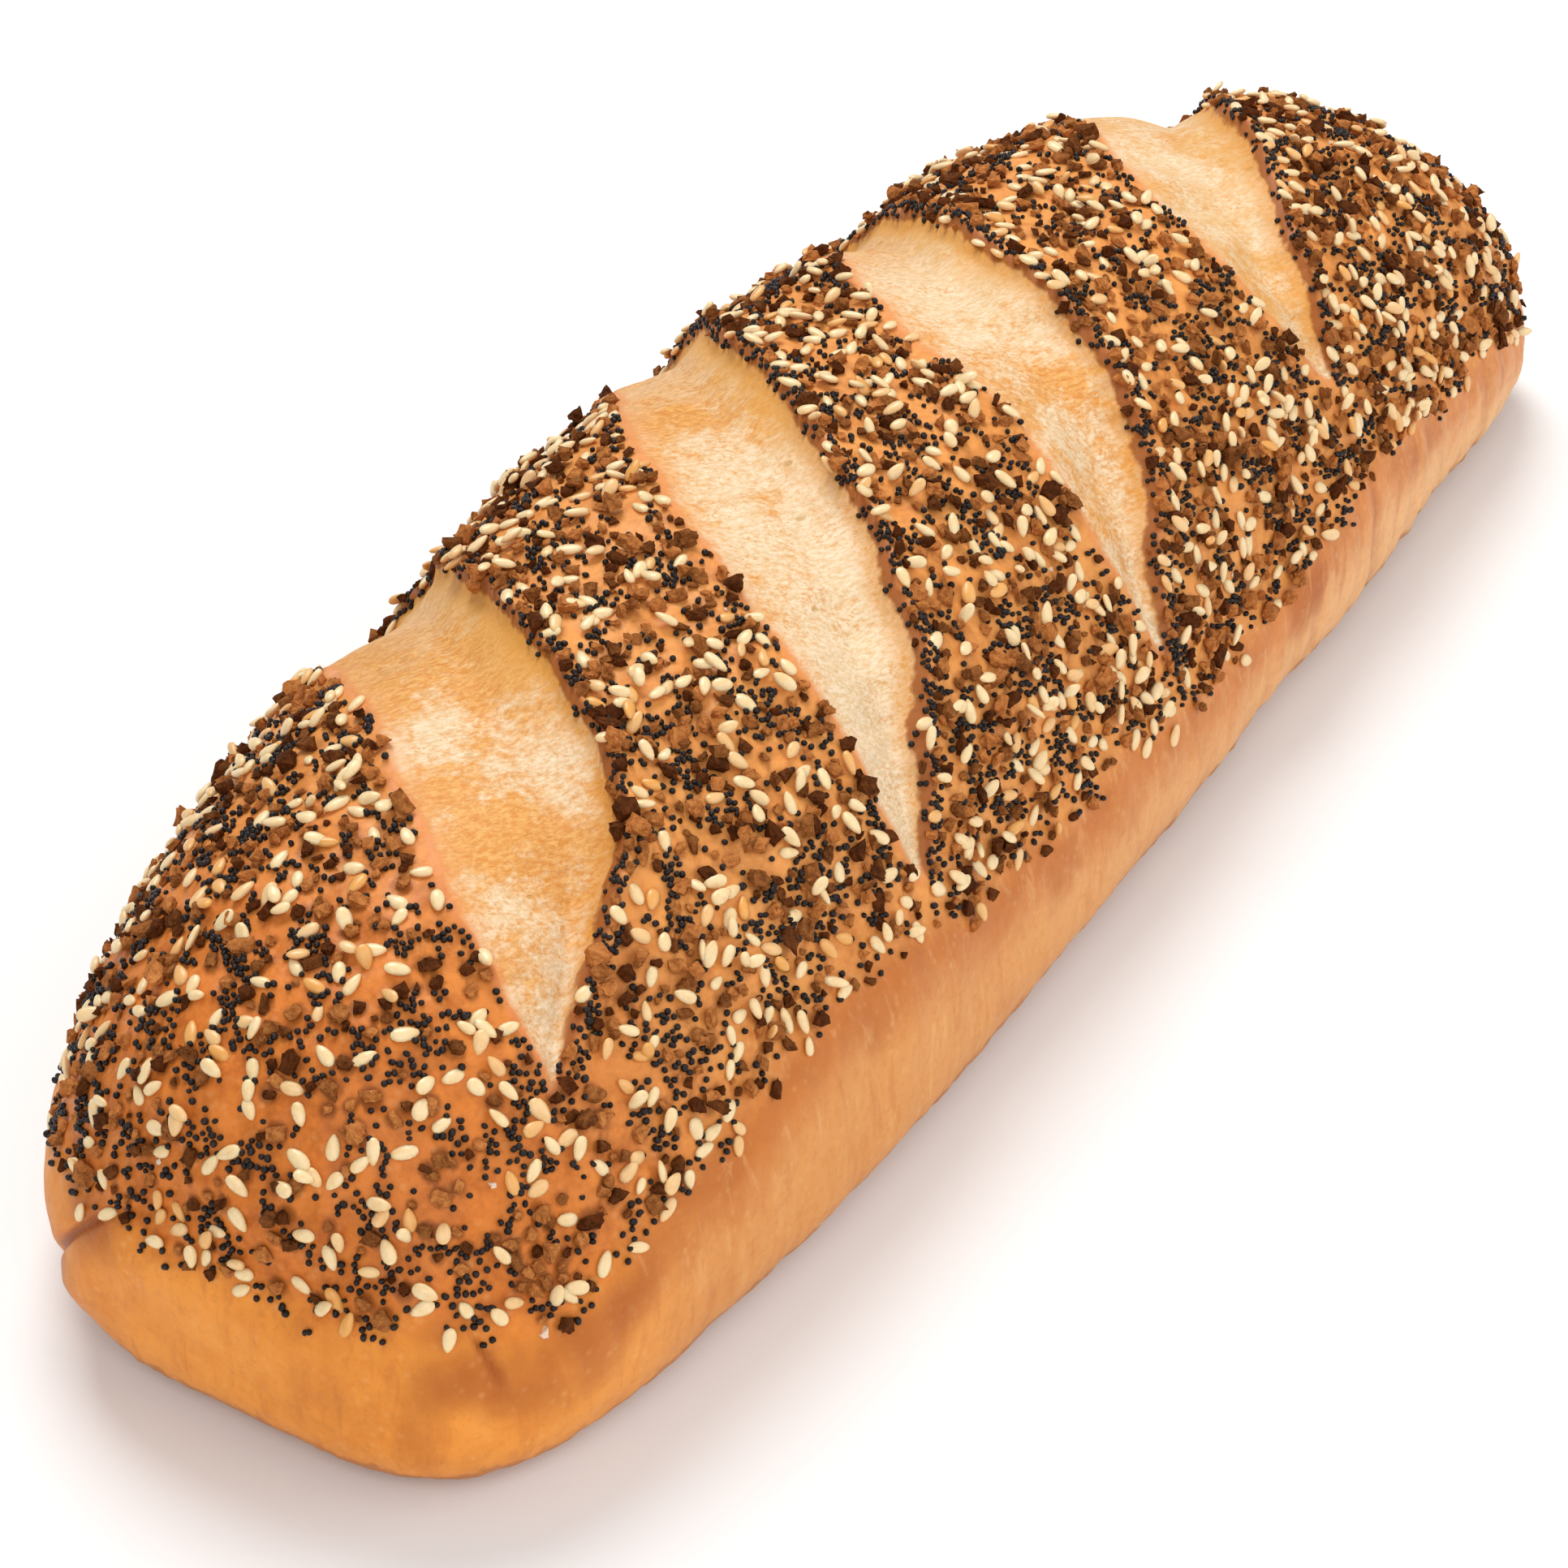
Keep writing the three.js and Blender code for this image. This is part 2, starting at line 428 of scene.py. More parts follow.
# %% Where the cuts are
CUT_OUTLINES = [
    [(-41.5, -133, -130), (-30.5, -128, -102), (-19.5, -123, -89.5), (-9.5, -116, -83), (1, -109, -77),
     (11, -100.5, -70.5), (21, -92.5, -65), (31, -85, -57.5), (40.5, -77, -51.5), (48.5, -68.5, -46),
     (54.5, -58, -42.5), (57.5, -52, -42)],
    [(-52.5, -62.5, -60), (-40.5, -60.5, -42), (-30.5, -57.5, -32.5), (-19.5, -53, -23.5),
     (-9.5, -47.5, -17.5), (1, -41.5, -10.5), (11, -33.5, -3), (21, -24.5, 4), (31, -14, 12),
     (40.5, -2, 19.5), (48.5, 7.5, 25), (54.5, 16, 29), (57.5, 23, 29.5)],
    [(-51.5, 8, 11), (-40.5, 7.5, 25), (-30.5, 8.8, 34), (-19.5, 12.5, 39.5), (-9.5, 16, 44),
     (1, 20.5, 49), (11, 27, 53.5), (21, 35, 59), (31, 45, 65), (40.5, 55, 70.5), (48.5, 63, 75),
     (54.5, 70, 78.5), (57.5, 75, 79.5)],
    [(-43.5, 78.5, 81), (-38.5, 75.5, 85), (-30.5, 74.2, 91.5), (-19.5, 76.5, 103), (-9.5, 82.3, 114.5),
     (1, 89.5, 124.5), (11, 98.5, 138.5), (21, 110.5, 156), (31, 122.5, 164.5), (40.5, 134.5, 167),
     (48.5, 143.5, 167), (53.5, 151.5, 165)],
]
OUTLINE_STEPS = 90
BACK_END = (30, 52)
LEAST_CLOSING = 0.02
WIDE_OPEN = 12
SHALLOWING = {"share": 0.45, "from": 18, "to": 48}
FAR_OUTSIDE = -99.0


def flowing(table, steps):
    """A smooth curve through the rows of a table (a Catmull-Rom spline)."""
    rows = np.array(table, float)
    padded = np.concatenate([2 * rows[:1] - rows[1:2], rows, 2 * rows[-1:] - rows[-2:-1]])
    place = np.linspace(0, len(rows) - 1 - 1e-9, steps)
    i, t = place.astype(int), (place % 1)[:, None]
    a, b, c, d = padded[i], padded[i + 1], padded[i + 2], padded[i + 3]
    return b + 0.5 * t * (c - a + t * (2 * a - 5 * b + 4 * c - d + t * (3 * (b - c) + d - a)))


def gap_to_outline(flat, outline):
    """The distance from each point, seen from above, to a closed outline."""
    least = np.full(len(flat), np.inf)
    for start, end in zip(outline, np.roll(outline, -1, axis=0)):
        run = end - start
        part = np.clip((flat - start) @ run / (run @ run), 0, 1)
        least = np.minimum(least, np.hypot(*(flat - start - part[:, None] * run).T))
    return least


def cut_places(points):
    """For each point: millimetres inside the nearest cut, place across it, and how open the cut is there."""
    inside = np.full(len(points), FAR_OUTSIDE)
    across = np.zeros(len(points))
    openness = np.zeros(len(points))
    closing = np.where(points[:, 1] > 0, smooth_step(points[:, 2], *BACK_END) ** 0.5, 1)
    for table in CUT_OUTLINES:
        y, near, far = flowing(table, OUTLINE_STEPS).T
        outline = np.concatenate([np.stack([near, y], 1), np.stack([far, y], 1)[::-1]])
        middle = np.interp(points[:, 1], y, (near + far) / 2)
        half = np.interp(points[:, 1], y, (far - near) / 2) * np.maximum(closing, LEAST_CLOSING)
        place_across = (points[:, 0] - middle) / half
        held = (np.abs(place_across) < 1) & (points[:, 1] > y[0]) & (points[:, 1] < y[-1])
        signed = gap_to_outline(points[:, :2], outline) * np.where(held, 1, -1)
        signed = np.minimum(signed, np.where(closing < 1, (1 - np.abs(place_across)) * half, signed))
        nearer = signed > inside
        inside = np.where(nearer, signed, inside)
        across = np.where(nearer, place_across, across)
        openness = np.where(nearer, np.clip(half / WIDE_OPEN, 0, 1), openness)
    far_back = smooth_step(points[:, 1], SHALLOWING["from"], SHALLOWING["to"])
    return inside, np.clip(across, -2, 2), openness * (1 - SHALLOWING["share"] * far_back)


# %% Measure the skin against the cuts
EDGE_WANDER = [(0.4, 16, 3), (0.12, 5, 4)]
LOWEST_CUT = 16

cut_inside, cut_across, cut_open = cut_places(points)
cut_inside += uneven(points, EDGE_WANDER)
cut_inside = np.where(points[:, 2] > LOWEST_CUT, cut_inside, FAR_OUTSIDE)
print("points inside the cuts:", int((cut_inside > 0).sum()))

# %% Shape of a cut
CUT_DEPTH = 4.3
DEPTH_POWER = 0.7
DEEPEST_ACROSS = 0.3
NEAR_SLOPE_POWER = 0.85
LIP_HEIGHT = 1.2
LIP_POWER = 0.5
LIP_OUTSET = 1.0
LIP_WIDTH = 1.6
LIP_STEP = 0.4


def cut_relief(inside, across, openness):
    """Height of the open cut and its lips over the uncut dough, in millimetres."""
    near_slope = np.clip((across + 1) / (1 + DEEPEST_ACROSS), 0, 1) ** NEAR_SLOPE_POWER
    far_slope = LIP_STEP + (1 - LIP_STEP) * np.clip((1 - across) / (1 - DEEPEST_ACROSS), 0, 1)
    floor = -CUT_DEPTH * np.where(across < DEEPEST_ACROSS, near_slope, far_slope) * openness ** DEPTH_POWER
    on_far_side = smooth_step(across, 0.2, 0.9)
    lip = LIP_HEIGHT * on_far_side * bell(inside + LIP_OUTSET, LIP_WIDTH) * openness ** LIP_POWER
    return floor * smooth_step(inside, -0.4, 0.9) + lip


relief = cut_relief(cut_inside, cut_across, cut_open)
print("cuts go from", round(relief.min(), 2), "to", round(relief.max(), 2), "mm")

# %% [markdown]
# ## Unevenness of the crust
# Baked dough is never an even dome. It has broad swellings, small dimples where grains pressed in,
# stretched wrinkles low on the walls, a fold where the end of the dough was tucked under, and a thin
# ragged rim where the base stuck to the tray. Each is a small height, added along the surface's normal.
# Inside a cut the crumb is torn open: long soft fibres lie across the cut from lip to lip.

# %% Seed line and masks
SEED_LINE = [(-167, 28), (-156, 25), (-138, 27), (-121, 34), (-88, 36), (-59, 33), (-31, 28), (2, 27),
             (30, 22), (57, 25), (83, 26), (116, 24), (145, 18), (167, 18)]
SEED_LINE_WANDER = [(1.6, 26, 11)]

along_share = points[:, 0] / (LENGTH / 2)
seed_line = np.interp(points[:, 0], *np.array(SEED_LINE, float).T)
seed_line += uneven(points * [1, 1, 0.3], SEED_LINE_WANDER)
over_line = points[:, 2] - seed_line
in_cut = smooth_step(cut_inside, -0.5, 0.8)
on_wall = 1 - smooth_step(over_line, -6, 6)
print("mean height of the seed line:", round(seed_line.mean(), 1), "mm")

# %% Swellings, dimples and wrinkles
# Each layer is a height, a wavelength and a seed. Squeezing the points' Z draws the waves out upwards.
SWELL = [(0.55, 46, 21), (0.28, 19, 22)]
DIMPLES = [(0.2, 6, 23), (0.07, 2.8, 24)]
WRINKLES = [(0.2, 7.5, 25), (0.08, 3.2, 26)]
DRAWN_UP = [1, 1, 0.16]

swell = uneven(points, SWELL)
dimples = uneven(points, DIMPLES)
wrinkles = uneven(points * DRAWN_UP, WRINKLES) * on_wall
wrinkles *= 0.45 + 0.75 * smooth_step(along_share, -0.2, 0.7)
print("swell range in mm:", round(swell.min(), 2), round(swell.max(), 2))

# %% Fibres in the cuts
FIBRE_TURN = math.radians(-28)
FIBRE_DRAW = 0.86
FIBRES = [(0.08, 2.4, 31), (0.13, 6.0, 32)]
CRUMPLE = [(0.3, 15, 33)]

fibre_way = np.array([math.cos(FIBRE_TURN), math.sin(FIBRE_TURN), 0])
fibre_place = points - FIBRE_DRAW * np.outer(points @ fibre_way, fibre_way)
fibres = uneven(fibre_place, FIBRES) + uneven(points, CRUMPLE)
print("fibres up to", round(fibres.max(), 2), "mm high")

# %% The folds at the near end
FOLDS = [
    {"line": [(-159, 27, 4), (-161, 22.5, 11), (-165, 13.5, 23), (-166, 7, 29.5), (-166, 0, 33),
              (-166, -7, 36)],
     "depth": 1.8, "width": 0.9, "bulge": 1.6, "tint": 0.55, "reach": 3.5},
    {"line": [(-158, -44.5, 30), (-157, -46.5, 25), (-156, -48.5, 19), (-154, -50, 10)],
     "depth": 1.2, "width": 0.75, "bulge": 0.4, "tint": 0.6, "reach": 1.6},
    {"line": [(-167, -11, 14), (-167, -19, 12), (-167, -28, 11.5)],
     "depth": 0.35, "width": 0.8, "bulge": 0.1, "tint": 0.2, "reach": 1.5},
    {"line": [(-167, -17, 9), (-167, -30, 8), (-165.5, -36, 9)],
     "depth": 0.3, "width": 0.7, "bulge": 0.1, "tint": 0.2, "reach": 1.5},
]
BULGE_AWAY = 6
BULGE_WIDTH = 5
FOLD_FADE = 0.85


def fold_relief(line, depth, width, bulge, tint, reach):
    """A pressed-in line that fades along its way, a soft swelling under it, and the painted shade round it.
    """
    stops = np.array(line, float)
    height = np.zeros(len(points))
    shade_round_fold = np.zeros(len(points))
    best = np.full(len(points), np.inf)
    for i in range(len(stops) - 1):
        run = stops[i + 1] - stops[i]
        part = np.clip((points - stops[i]) @ run / (run @ run), 0, 1)
        away = points - (stops[i] + part[:, None] * run)
        gap = np.linalg.norm(away, axis=1)
        way = (i + part) / (len(stops) - 1)
        fade = (1 - FOLD_FADE * way ** 1.5) * smooth_step(way, -0.1, 0.3)
        under = smooth_step(-away[:, 2], 0, 3) * smooth_step(points[:, 2], 5, 14)
        here = -depth * bell(gap, width) + bulge * under * bell(gap - BULGE_AWAY, BULGE_WIDTH)
        height = np.where(gap < best, fade * here, height)
        shade_round_fold = np.where(gap < best, tint * fade ** 0.5 * bell(gap, reach), shade_round_fold)
        best = np.minimum(best, gap)
    return height, shade_round_fold


# The second sum is the painted shade round the folds.
folds, fold_shade = (sum(kind) for kind in zip(*(fold_relief(**fold) for fold in FOLDS)))
# How deep each fold presses in, for the painted shade in its groove.
crease_shade = smooth_step(-folds, 0.35, 1.3)
print("folds from", round(folds.min(), 2), "to", round(folds.max(), 2), "mm")

# %% The base rim
LEDGE = [(1.0, 55, 41), (0.4, 14, 43)]
TEARS = [(0.5, 5, 44), (0.3, 2.2, 45)]
RIM = {"ledge": 0.3, "tears": 0.18, "height": 4.0, "width": 1.5}
UNDERCUT = {"depth": 0.45, "height": 7.2, "width": 0.9}

ledge = smooth_step(uneven(points, LEDGE), -0.3, 0.8)
tears = 0.5 + uneven(points * [1, 1, 0.2], TEARS)
rim = (RIM["ledge"] * ledge + RIM["tears"] * tears) * bell(points[:, 2] - RIM["height"], RIM["width"])
undercut = -UNDERCUT["depth"] * bell(points[:, 2] - UNDERCUT["height"], UNDERCUT["width"]) * ledge
print("rim up to", round(rim.max(), 2), "mm")

# %% Broad hollows and swellings of the hand-shaped dough
# Each is a centre, a radius and a height.
HOLLOWS = [((-158, 26, 6), 13, -2.2), ((160, 32, 34), 13, -1.6), ((-160, 22, 38), 18, -0.9),
           ((138, 8, 58), 14, -1.0), ((96, 38, 55), 14, 0.6), ((-46, 43, 53), 22, -2.2),
           ((-16, 43, 54), 13, -1.2), ((42, 43, 54), 17, -1.8), ((74, 39, 55), 17, -1.8),
           ((116, -56, 6), 21, -2.1), ((48, -58, 5), 12, -1.1), ((-118, -56, 5), 18, -0.9),
           ((-74, 51, 44), 11, -1.3), ((12, 50, 46), 11, -1.4), ((64, 49, 47), 11, -1.3),
           ((-46, 43, 53), 9, -0.8), ((-16, 43, 54), 8, -0.8), ((44, 43, 54), 8, -1.0)]


def patches(spots, squash=(1, 1, 1)):
    """For each spot (a centre, a radius and a strength), its strength at every point of the skin."""
    for centre, radius, strength in spots:
        yield strength * bell(np.linalg.norm((points - centre) * squash, axis=1), radius)


hollows = sum(patches(HOLLOWS))
print("hollows and swellings:", len(HOLLOWS))

# %% Raise the skin
ROOM_FOR_GRAINS = 1.9
SWELL_STARTS = (3, 24)
FLAT_BELOW = 0.01

height_of_skin = relief + swell * smooth_step(points[:, 2], *SWELL_STARTS)
height_of_skin -= ROOM_FOR_GRAINS * smooth_step(over_line, -6, 8)
height_of_skin += (dimples * (1 - on_wall) + wrinkles) * (1 - in_cut) + fibres * in_cut
height_of_skin += hollows + folds + rim + undercut
skin = points + crust_normals * height_of_skin[:, None]
flat = points[:, 2] < FLAT_BELOW
skin[flat] = points[flat]
skin[:, 2] = np.maximum(skin[:, 2], 0)
loaf.data.vertices.foreach_set("co", (skin * MM).astype(np.float32).ravel())
loaf.data.update()
print("skin box in mm:", skin.min(axis=0).round(1), skin.max(axis=0).round(1))

# %% [markdown]
# ## Scattering the toppings
# The dough was rolled in a tray of grains before it was cut, so the grains cover the top, thin out at a
# ragged line low on the sides, and stop at the lips of the cuts. Geometry nodes could scatter them, but a
# few lines of Python can also keep them from sinking into each other: each grain looks at the ones
# already lying near it, and either finds room, climbs on top of them, or is dropped.

# %% Where the crust is seeded
NEAR_BAND = (-0.86, -0.55)
BARE_LIP = 0.8
SEEDED_OVER_LINE = (-2.0, 5)

centres = skin[quads].mean(axis=1)
sides = skin[quads[:, 2]] - skin[quads[:, 0]], skin[quads[:, 3]] - skin[quads[:, 1]]
quad_area = np.linalg.norm(np.cross(*sides), axis=1) / 2
quad_over = over_line[quads].mean(axis=1)
quad_inside = cut_inside[quads].mean(axis=1)
quad_across = cut_across[quads].mean(axis=1)
near_band = 1 - smooth_step(centres[:, 0] / (LENGTH / 2), *NEAR_BAND)
bare_lip = BARE_LIP * (1 - smooth_step(quad_across, -0.6, 0.4))
seeded = smooth_step(quad_over, *SEEDED_OVER_LINE) * (1 - smooth_step(quad_inside + bare_lip, -0.5, 0.4))
print("seeded area:", int((quad_area * seeded).sum()), "square mm")


# %% Pick places on the crust
def places(share, count):
    """Random places on the crust, more of them where share is high, with the surface's normal at each."""
    chance = quad_area * share
    chosen = random.choice(len(quads), count, p=chance / chance.sum())
    across, down = random.uniform(size=(2, count, 1))
    weights = np.stack([(1 - across) * (1 - down), across * (1 - down), across * down,
                        (1 - across) * down])
    corners = quads[chosen].T
    spot = (weights * skin[corners]).sum(axis=0)
    normal = (weights * crust_normals[corners]).sum(axis=0)
    return spot, normal / np.linalg.norm(normal, axis=1, keepdims=True)


# %% Find room for each grain
CELL = 3.2
BLOCKED_SHARE = 0.35
HIGHEST_LIFT = 1.6
lying = {}


def cell_of(spot):
    """The box of a coarse grid that a place lies in. Only the boxes round it have to be searched."""
    return tuple(int(c // CELL) for c in spot)


def near_grains(spot):
    """The grains lying in the box of a place and in the 26 boxes round it."""
    i, j, k = cell_of(spot)
    for x, y, z in itertools.product((-1, 0, 1), repeat=3):
        yield from lying.get((i + x, j + y, k + z), ())


def settle(spots, radii, tall, closeness, climbs, rise=0.62):
    """Keeps the grains that find room. Returns their numbers and how high each is lifted over the crust."""
    kept, lifts = [], []
    for i, (spot, radius) in enumerate(zip(spots.tolist(), radii.tolist())):
        lift = 0.0
        blocked = False
        for other, other_radius, top in near_grains(spot):
            gap = math.dist(spot, other)
            if gap < closeness * (radius + other_radius):
                blocked = gap < BLOCKED_SHARE * (radius + other_radius)
                lift = max(lift, rise * top)
                if blocked:
                    break
        if blocked or (lift > 0 and random.uniform() > climbs) or lift > HIGHEST_LIFT:
            continue
        lying.setdefault(cell_of(spot), []).append((spot, radius, lift + tall))
        kept.append(i)
        lifts.append(lift)
    return np.array(kept), np.array(lifts)


# %% Copy a grain to many places
def spin_frames(normals, tilt):
    """A set of three axes for each grain: its own up leans off the surface by tilt, its turn is random."""
    lean = normals + random.normal(size=normals.shape) * tilt
    up = lean / np.linalg.norm(lean, axis=1, keepdims=True)
    guide = random.normal(size=normals.shape)
    first = np.cross(guide, up)
    first /= np.linalg.norm(first, axis=1, keepdims=True)
    return np.stack([first, np.cross(up, first), up], axis=1)


def copies(name, shapes, spots, frames, sizes, tones, smooth=True):
    """One mesh with a copy of one of the shapes at every spot, each with its own tone stored on it."""
    kinds = random.integers(len(shapes), size=len(spots))
    all_points, all_faces, all_tones, all_local = [], [], [], []
    first = 0
    for kind, (shape, faces) in enumerate(shapes):
        mine = np.flatnonzero(kinds == kind)
        local = shape[None] * sizes[mine][:, None, :]
        world = np.einsum("nvk,nkx->nvx", local, frames[mine]) + spots[mine][:, None, :]
        offsets = first + np.arange(len(mine))[:, None, None] * len(shape)
        all_points.append(world.reshape(-1, 3))
        all_faces.append((faces[None] + offsets).reshape(-1, 3))
        all_tones.append(np.repeat(tones[mine], len(shape)))
        all_local.append(np.tile(shape, (len(mine), 1)))
        first += len(mine) * len(shape)
    piece = mesh_piece(name, np.concatenate(all_points), [np.concatenate(all_faces)], smooth)
    local = np.concatenate(all_local)
    paint(piece, "tone", np.concatenate(all_tones))
    paint(piece, "tip", local[:, 0])
    paint(piece, "top", local[:, 2])
    print(name, len(spots), "grains,", len(piece.data.polygons), "faces")
    return piece


def copies_by_place(name, borders, shapes, spots, *numbers, smooth=True):
    """The same, in several pieces: one for each stretch of the loaf between the borders."""
    stretch_of = np.digitize(spots[:, 0], borders)
    pieces = []
    for i in range(len(borders) + 1):
        mine = stretch_of == i
        kept_numbers = [values[mine] for values in numbers]
        pieces.append(copies(f"{name}_{i + 1}", shapes, spots[mine], *kept_numbers, smooth=smooth))
    return pieces


# %% Read a shape out of bmesh
def triangle_mesh(build):
    """Runs a bmesh builder and returns its points and triangles as arrays."""
    work = bmesh.new()
    build(work)
    bmesh.ops.triangulate(work, faces=work.faces[:])
    work.verts.index_update()
    shape = np.array([v.co for v in work.verts])
    faces = np.array([[v.index for v in face.verts] for face in work.faces])
    work.free()
    return shape, faces


# %% [markdown]
# ## Toasted crumbs
# These are broken bits of dried onion-brown crumb, 1 to 4 mm across, with sharp corners and rough, torn
# sides. The shaken corners of a block and three random points, wrapped in their convex hull, give the
# chipped outline; cutting every edge in three and jolting the new corners roughens the sides. Fourteen
# different bits, each stretched and turned at random, are enough that no two look alike. They go down
# first, because they are largest.

# %% Crumb shapes
CRUMB_SHAPES = 14
BLOCK_HALF = 0.8
SHAKE = 0.27
JOLT = 0.07


def crumb(seed):
    """One chipped bit, about 1 in half size along each axis."""
    dice = np.random.default_rng(seed)

    def build(work):
        block = np.array(list(itertools.product((-1, 1), repeat=3))) * BLOCK_HALF
        corners = np.concatenate([block, dice.normal(size=(3, 3)) * BLOCK_HALF])
        for point in corners + SHAKE * dice.normal(size=corners.shape):
            work.verts.new(point)
        hull = bmesh.ops.convex_hull(work, input=work.verts[:])
        left_over = {*hull["geom_interior"], *hull["geom_unused"]}
        loose = [item for item in left_over if isinstance(item, bmesh.types.BMVert)]
        bmesh.ops.delete(work, geom=loose, context="VERTS")
        bmesh.ops.subdivide_edges(work, edges=work.edges[:], cuts=2, use_grid_fill=True)

    shape, faces = triangle_mesh(build)
    shape = shape / np.abs(shape).max(axis=0)
    shape += JOLT * dice.normal(size=shape.shape)
    return shape, faces


crumb_shapes = [crumb(100 + i) for i in range(CRUMB_SHAPES)]
print("crumb faces:", [len(faces) for shape, faces in crumb_shapes])

# %% Scatter the crumbs
CRUMB_TRIES = 4800
CRUMB_RADIUS = {"middle": 0.98, "spread": 0.32, "range": (0.5, 1.65)}
CRUMB_STRETCH = [0.95, 0.75, 0.6], [1.4, 1.05, 0.95]
CRUMB_SEAT = 0.5
CRUMB_TILT = 0.35
CRUMB_BORDERS = [-58, 52]

clump = smooth_step(waves(centres, 13, 51), -1.1, 1.3)
crumb_share = seeded * (0.3 + 1.2 * clump ** (1 + near_band)) * (1 - 0.35 * near_band)
spots, normals = places(crumb_share, CRUMB_TRIES)
crumb_radius = random.lognormal(math.log(CRUMB_RADIUS["middle"]), CRUMB_RADIUS["spread"], CRUMB_TRIES)
crumb_radius = crumb_radius.clip(*CRUMB_RADIUS["range"])
kept, lifts = settle(spots, crumb_radius, tall=0.9, closeness=0.78, climbs=0.25)
spots, normals, crumb_radius = spots[kept], normals[kept], crumb_radius[kept]
crumb_size = crumb_radius[:, None] * random.uniform(*CRUMB_STRETCH, (len(kept), 3))
crumb_tone = random.beta(0.8, 0.9, len(kept))
crumb_spots = spots + normals * (lifts + CRUMB_SEAT * crumb_size[:, 2])[:, None]
crumb_frames = spin_frames(normals, CRUMB_TILT)
crumb_pieces = copies_by_place("toasted_crumbs", CRUMB_BORDERS, crumb_shapes, crumb_spots, crumb_frames,
                               crumb_size, crumb_tone, smooth=False)

# %% [markdown]
# ## Sesame seeds
# A hulled sesame seed is a flat teardrop about 3.3 mm long, pointed at one end. It is turned from an
# outline: a ring of points at each station along its length, wide and low in cross-section. Most lie
# flat on the crust, a few lean on their neighbours.

# %% Sesame shapes
SEED_STATIONS = 7
SEED_SIDES = 9
SEED_TIP_AT = -1.03


def sesame(taper, flatness):
    """A teardrop lying along X with its tip at -1: taper sharpens the tip, flatness levels its top."""
    turn = np.linspace(0, 2 * math.pi, SEED_SIDES, endpoint=False)
    stations = np.linspace(0, math.pi, SEED_STATIONS + 1)[1:-1]
    lengths = -np.cos(stations)
    belly = np.sin(stations) * (1 + taper * lengths)
    belly /= belly.max()
    body = [(x, half * math.cos(t), half ** flatness * math.sin(t))
            for x, half in zip(lengths, belly) for t in turn]
    shape = np.array([(SEED_TIP_AT, 0, 0)] + body + [(1, 0, 0)])
    faces = []
    last = len(shape) - 1
    for i in range(SEED_SIDES):
        j = (i + 1) % SEED_SIDES
        faces.append((0, 1 + j, 1 + i))
        faces.append((last, last - SEED_SIDES + i, last - SEED_SIDES + j))
        for ring in range(SEED_STATIONS - 2):
            a, b = 1 + ring * SEED_SIDES + i, 1 + ring * SEED_SIDES + j
            faces += [(a, b, b + SEED_SIDES), (a, b + SEED_SIDES, a + SEED_SIDES)]
    return shape, np.array(faces)


SEED_KINDS = [(0.2, 0.8), (0.3, 0.7), (0.12, 0.85), (0.25, 0.6)]
sesame_shapes = [sesame(taper, flatness) for taper, flatness in SEED_KINDS]
print("sesame faces:", len(sesame_shapes[0][1]))

# %% Scatter the sesame
SESAME_TRIES = 5000
SESAME_HALF_SIZE = np.array([1.62, 0.95, 0.55])
SESAME_ROOM = 1.2
SESAME_SEAT = 0.36
SESAME_TILT = {"lying": 0.08, "leaning": 0.3}
SESAME_BORDERS = [0]

drift = smooth_step(waves(centres, 17, 52), -1.3, 1.2)
sesame_share = seeded * (0.5 + drift) * (1 - 0.45 * near_band)
spots, normals = places(sesame_share, SESAME_TRIES)
grow = random.normal(1, 0.07, (SESAME_TRIES, 1)).clip(0.8, 1.2)
kept, lifts = settle(spots, SESAME_ROOM * grow[:, 0], tall=0.8, closeness=0.94, climbs=0.26, rise=0.8)
spots, normals = spots[kept], normals[kept]
sesame_size = SESAME_HALF_SIZE * grow[kept] * random.normal(1, 0.06, (len(kept), 3))
sesame_tone = random.uniform(size=len(kept))
sesame_tilt = np.where(lifts > 0, SESAME_TILT["leaning"], SESAME_TILT["lying"])[:, None]
sesame_spots = spots + normals * (lifts + SESAME_SEAT)[:, None]
sesame_frames = spin_frames(normals, sesame_tilt)
sesame_pieces = copies_by_place("sesame_seeds", SESAME_BORDERS, sesame_shapes, sesame_spots, sesame_frames,
                                sesame_size, sesame_tone)

# %% [markdown]
# ## Poppy seeds
# Poppy seeds are blue-black kidneys about a millimetre across. They are so small that a ball of
# 80 faces with a dent is plenty. They roll into the gaps, cling in groups, and gather thickly along the
# raised far lip of each cut. There are thousands, so they make four pieces, one behind the other.

# %% Poppy shapes
DENT_SPREAD = 0.35
POPPY_HEIGHT = 0.86


def poppy(dent):
    """A ball with a dent of this depth in one side, and a little lower than it is wide."""
    def build(work):
        bmesh.ops.create_icosphere(work, subdivisions=2, radius=1)

    shape, faces = triangle_mesh(build)
    squeeze = np.exp(-((shape[:, 0] ** 2 + (shape[:, 1] - 1) ** 2) / DENT_SPREAD))
    shape[:, 1] -= dent * squeeze
    shape[:, 2] *= POPPY_HEIGHT
    return shape, faces


poppy_shapes = [poppy(dent) for dent in (0.18, 0.3, 0.42)]
print("poppy faces:", len(poppy_shapes[0][1]))

# %% Scatter the poppy seeds
POPPY_TRIES = 24000
POPPY_RADIUS = 0.48
POPPY_SEAT = 0.62
POPPY_TILT = 3.0
POPPY_GROUPS = [(1.0, 9, 53), (0.8, 4, 54)]
POPPY_BORDERS = [-90, -10, 75]


def poppy_groups(points):
    """How thickly the poppy seeds cling together at each point, from 0 to 1."""
    return smooth_step(uneven(points, POPPY_GROUPS), -0.3, 1.3)


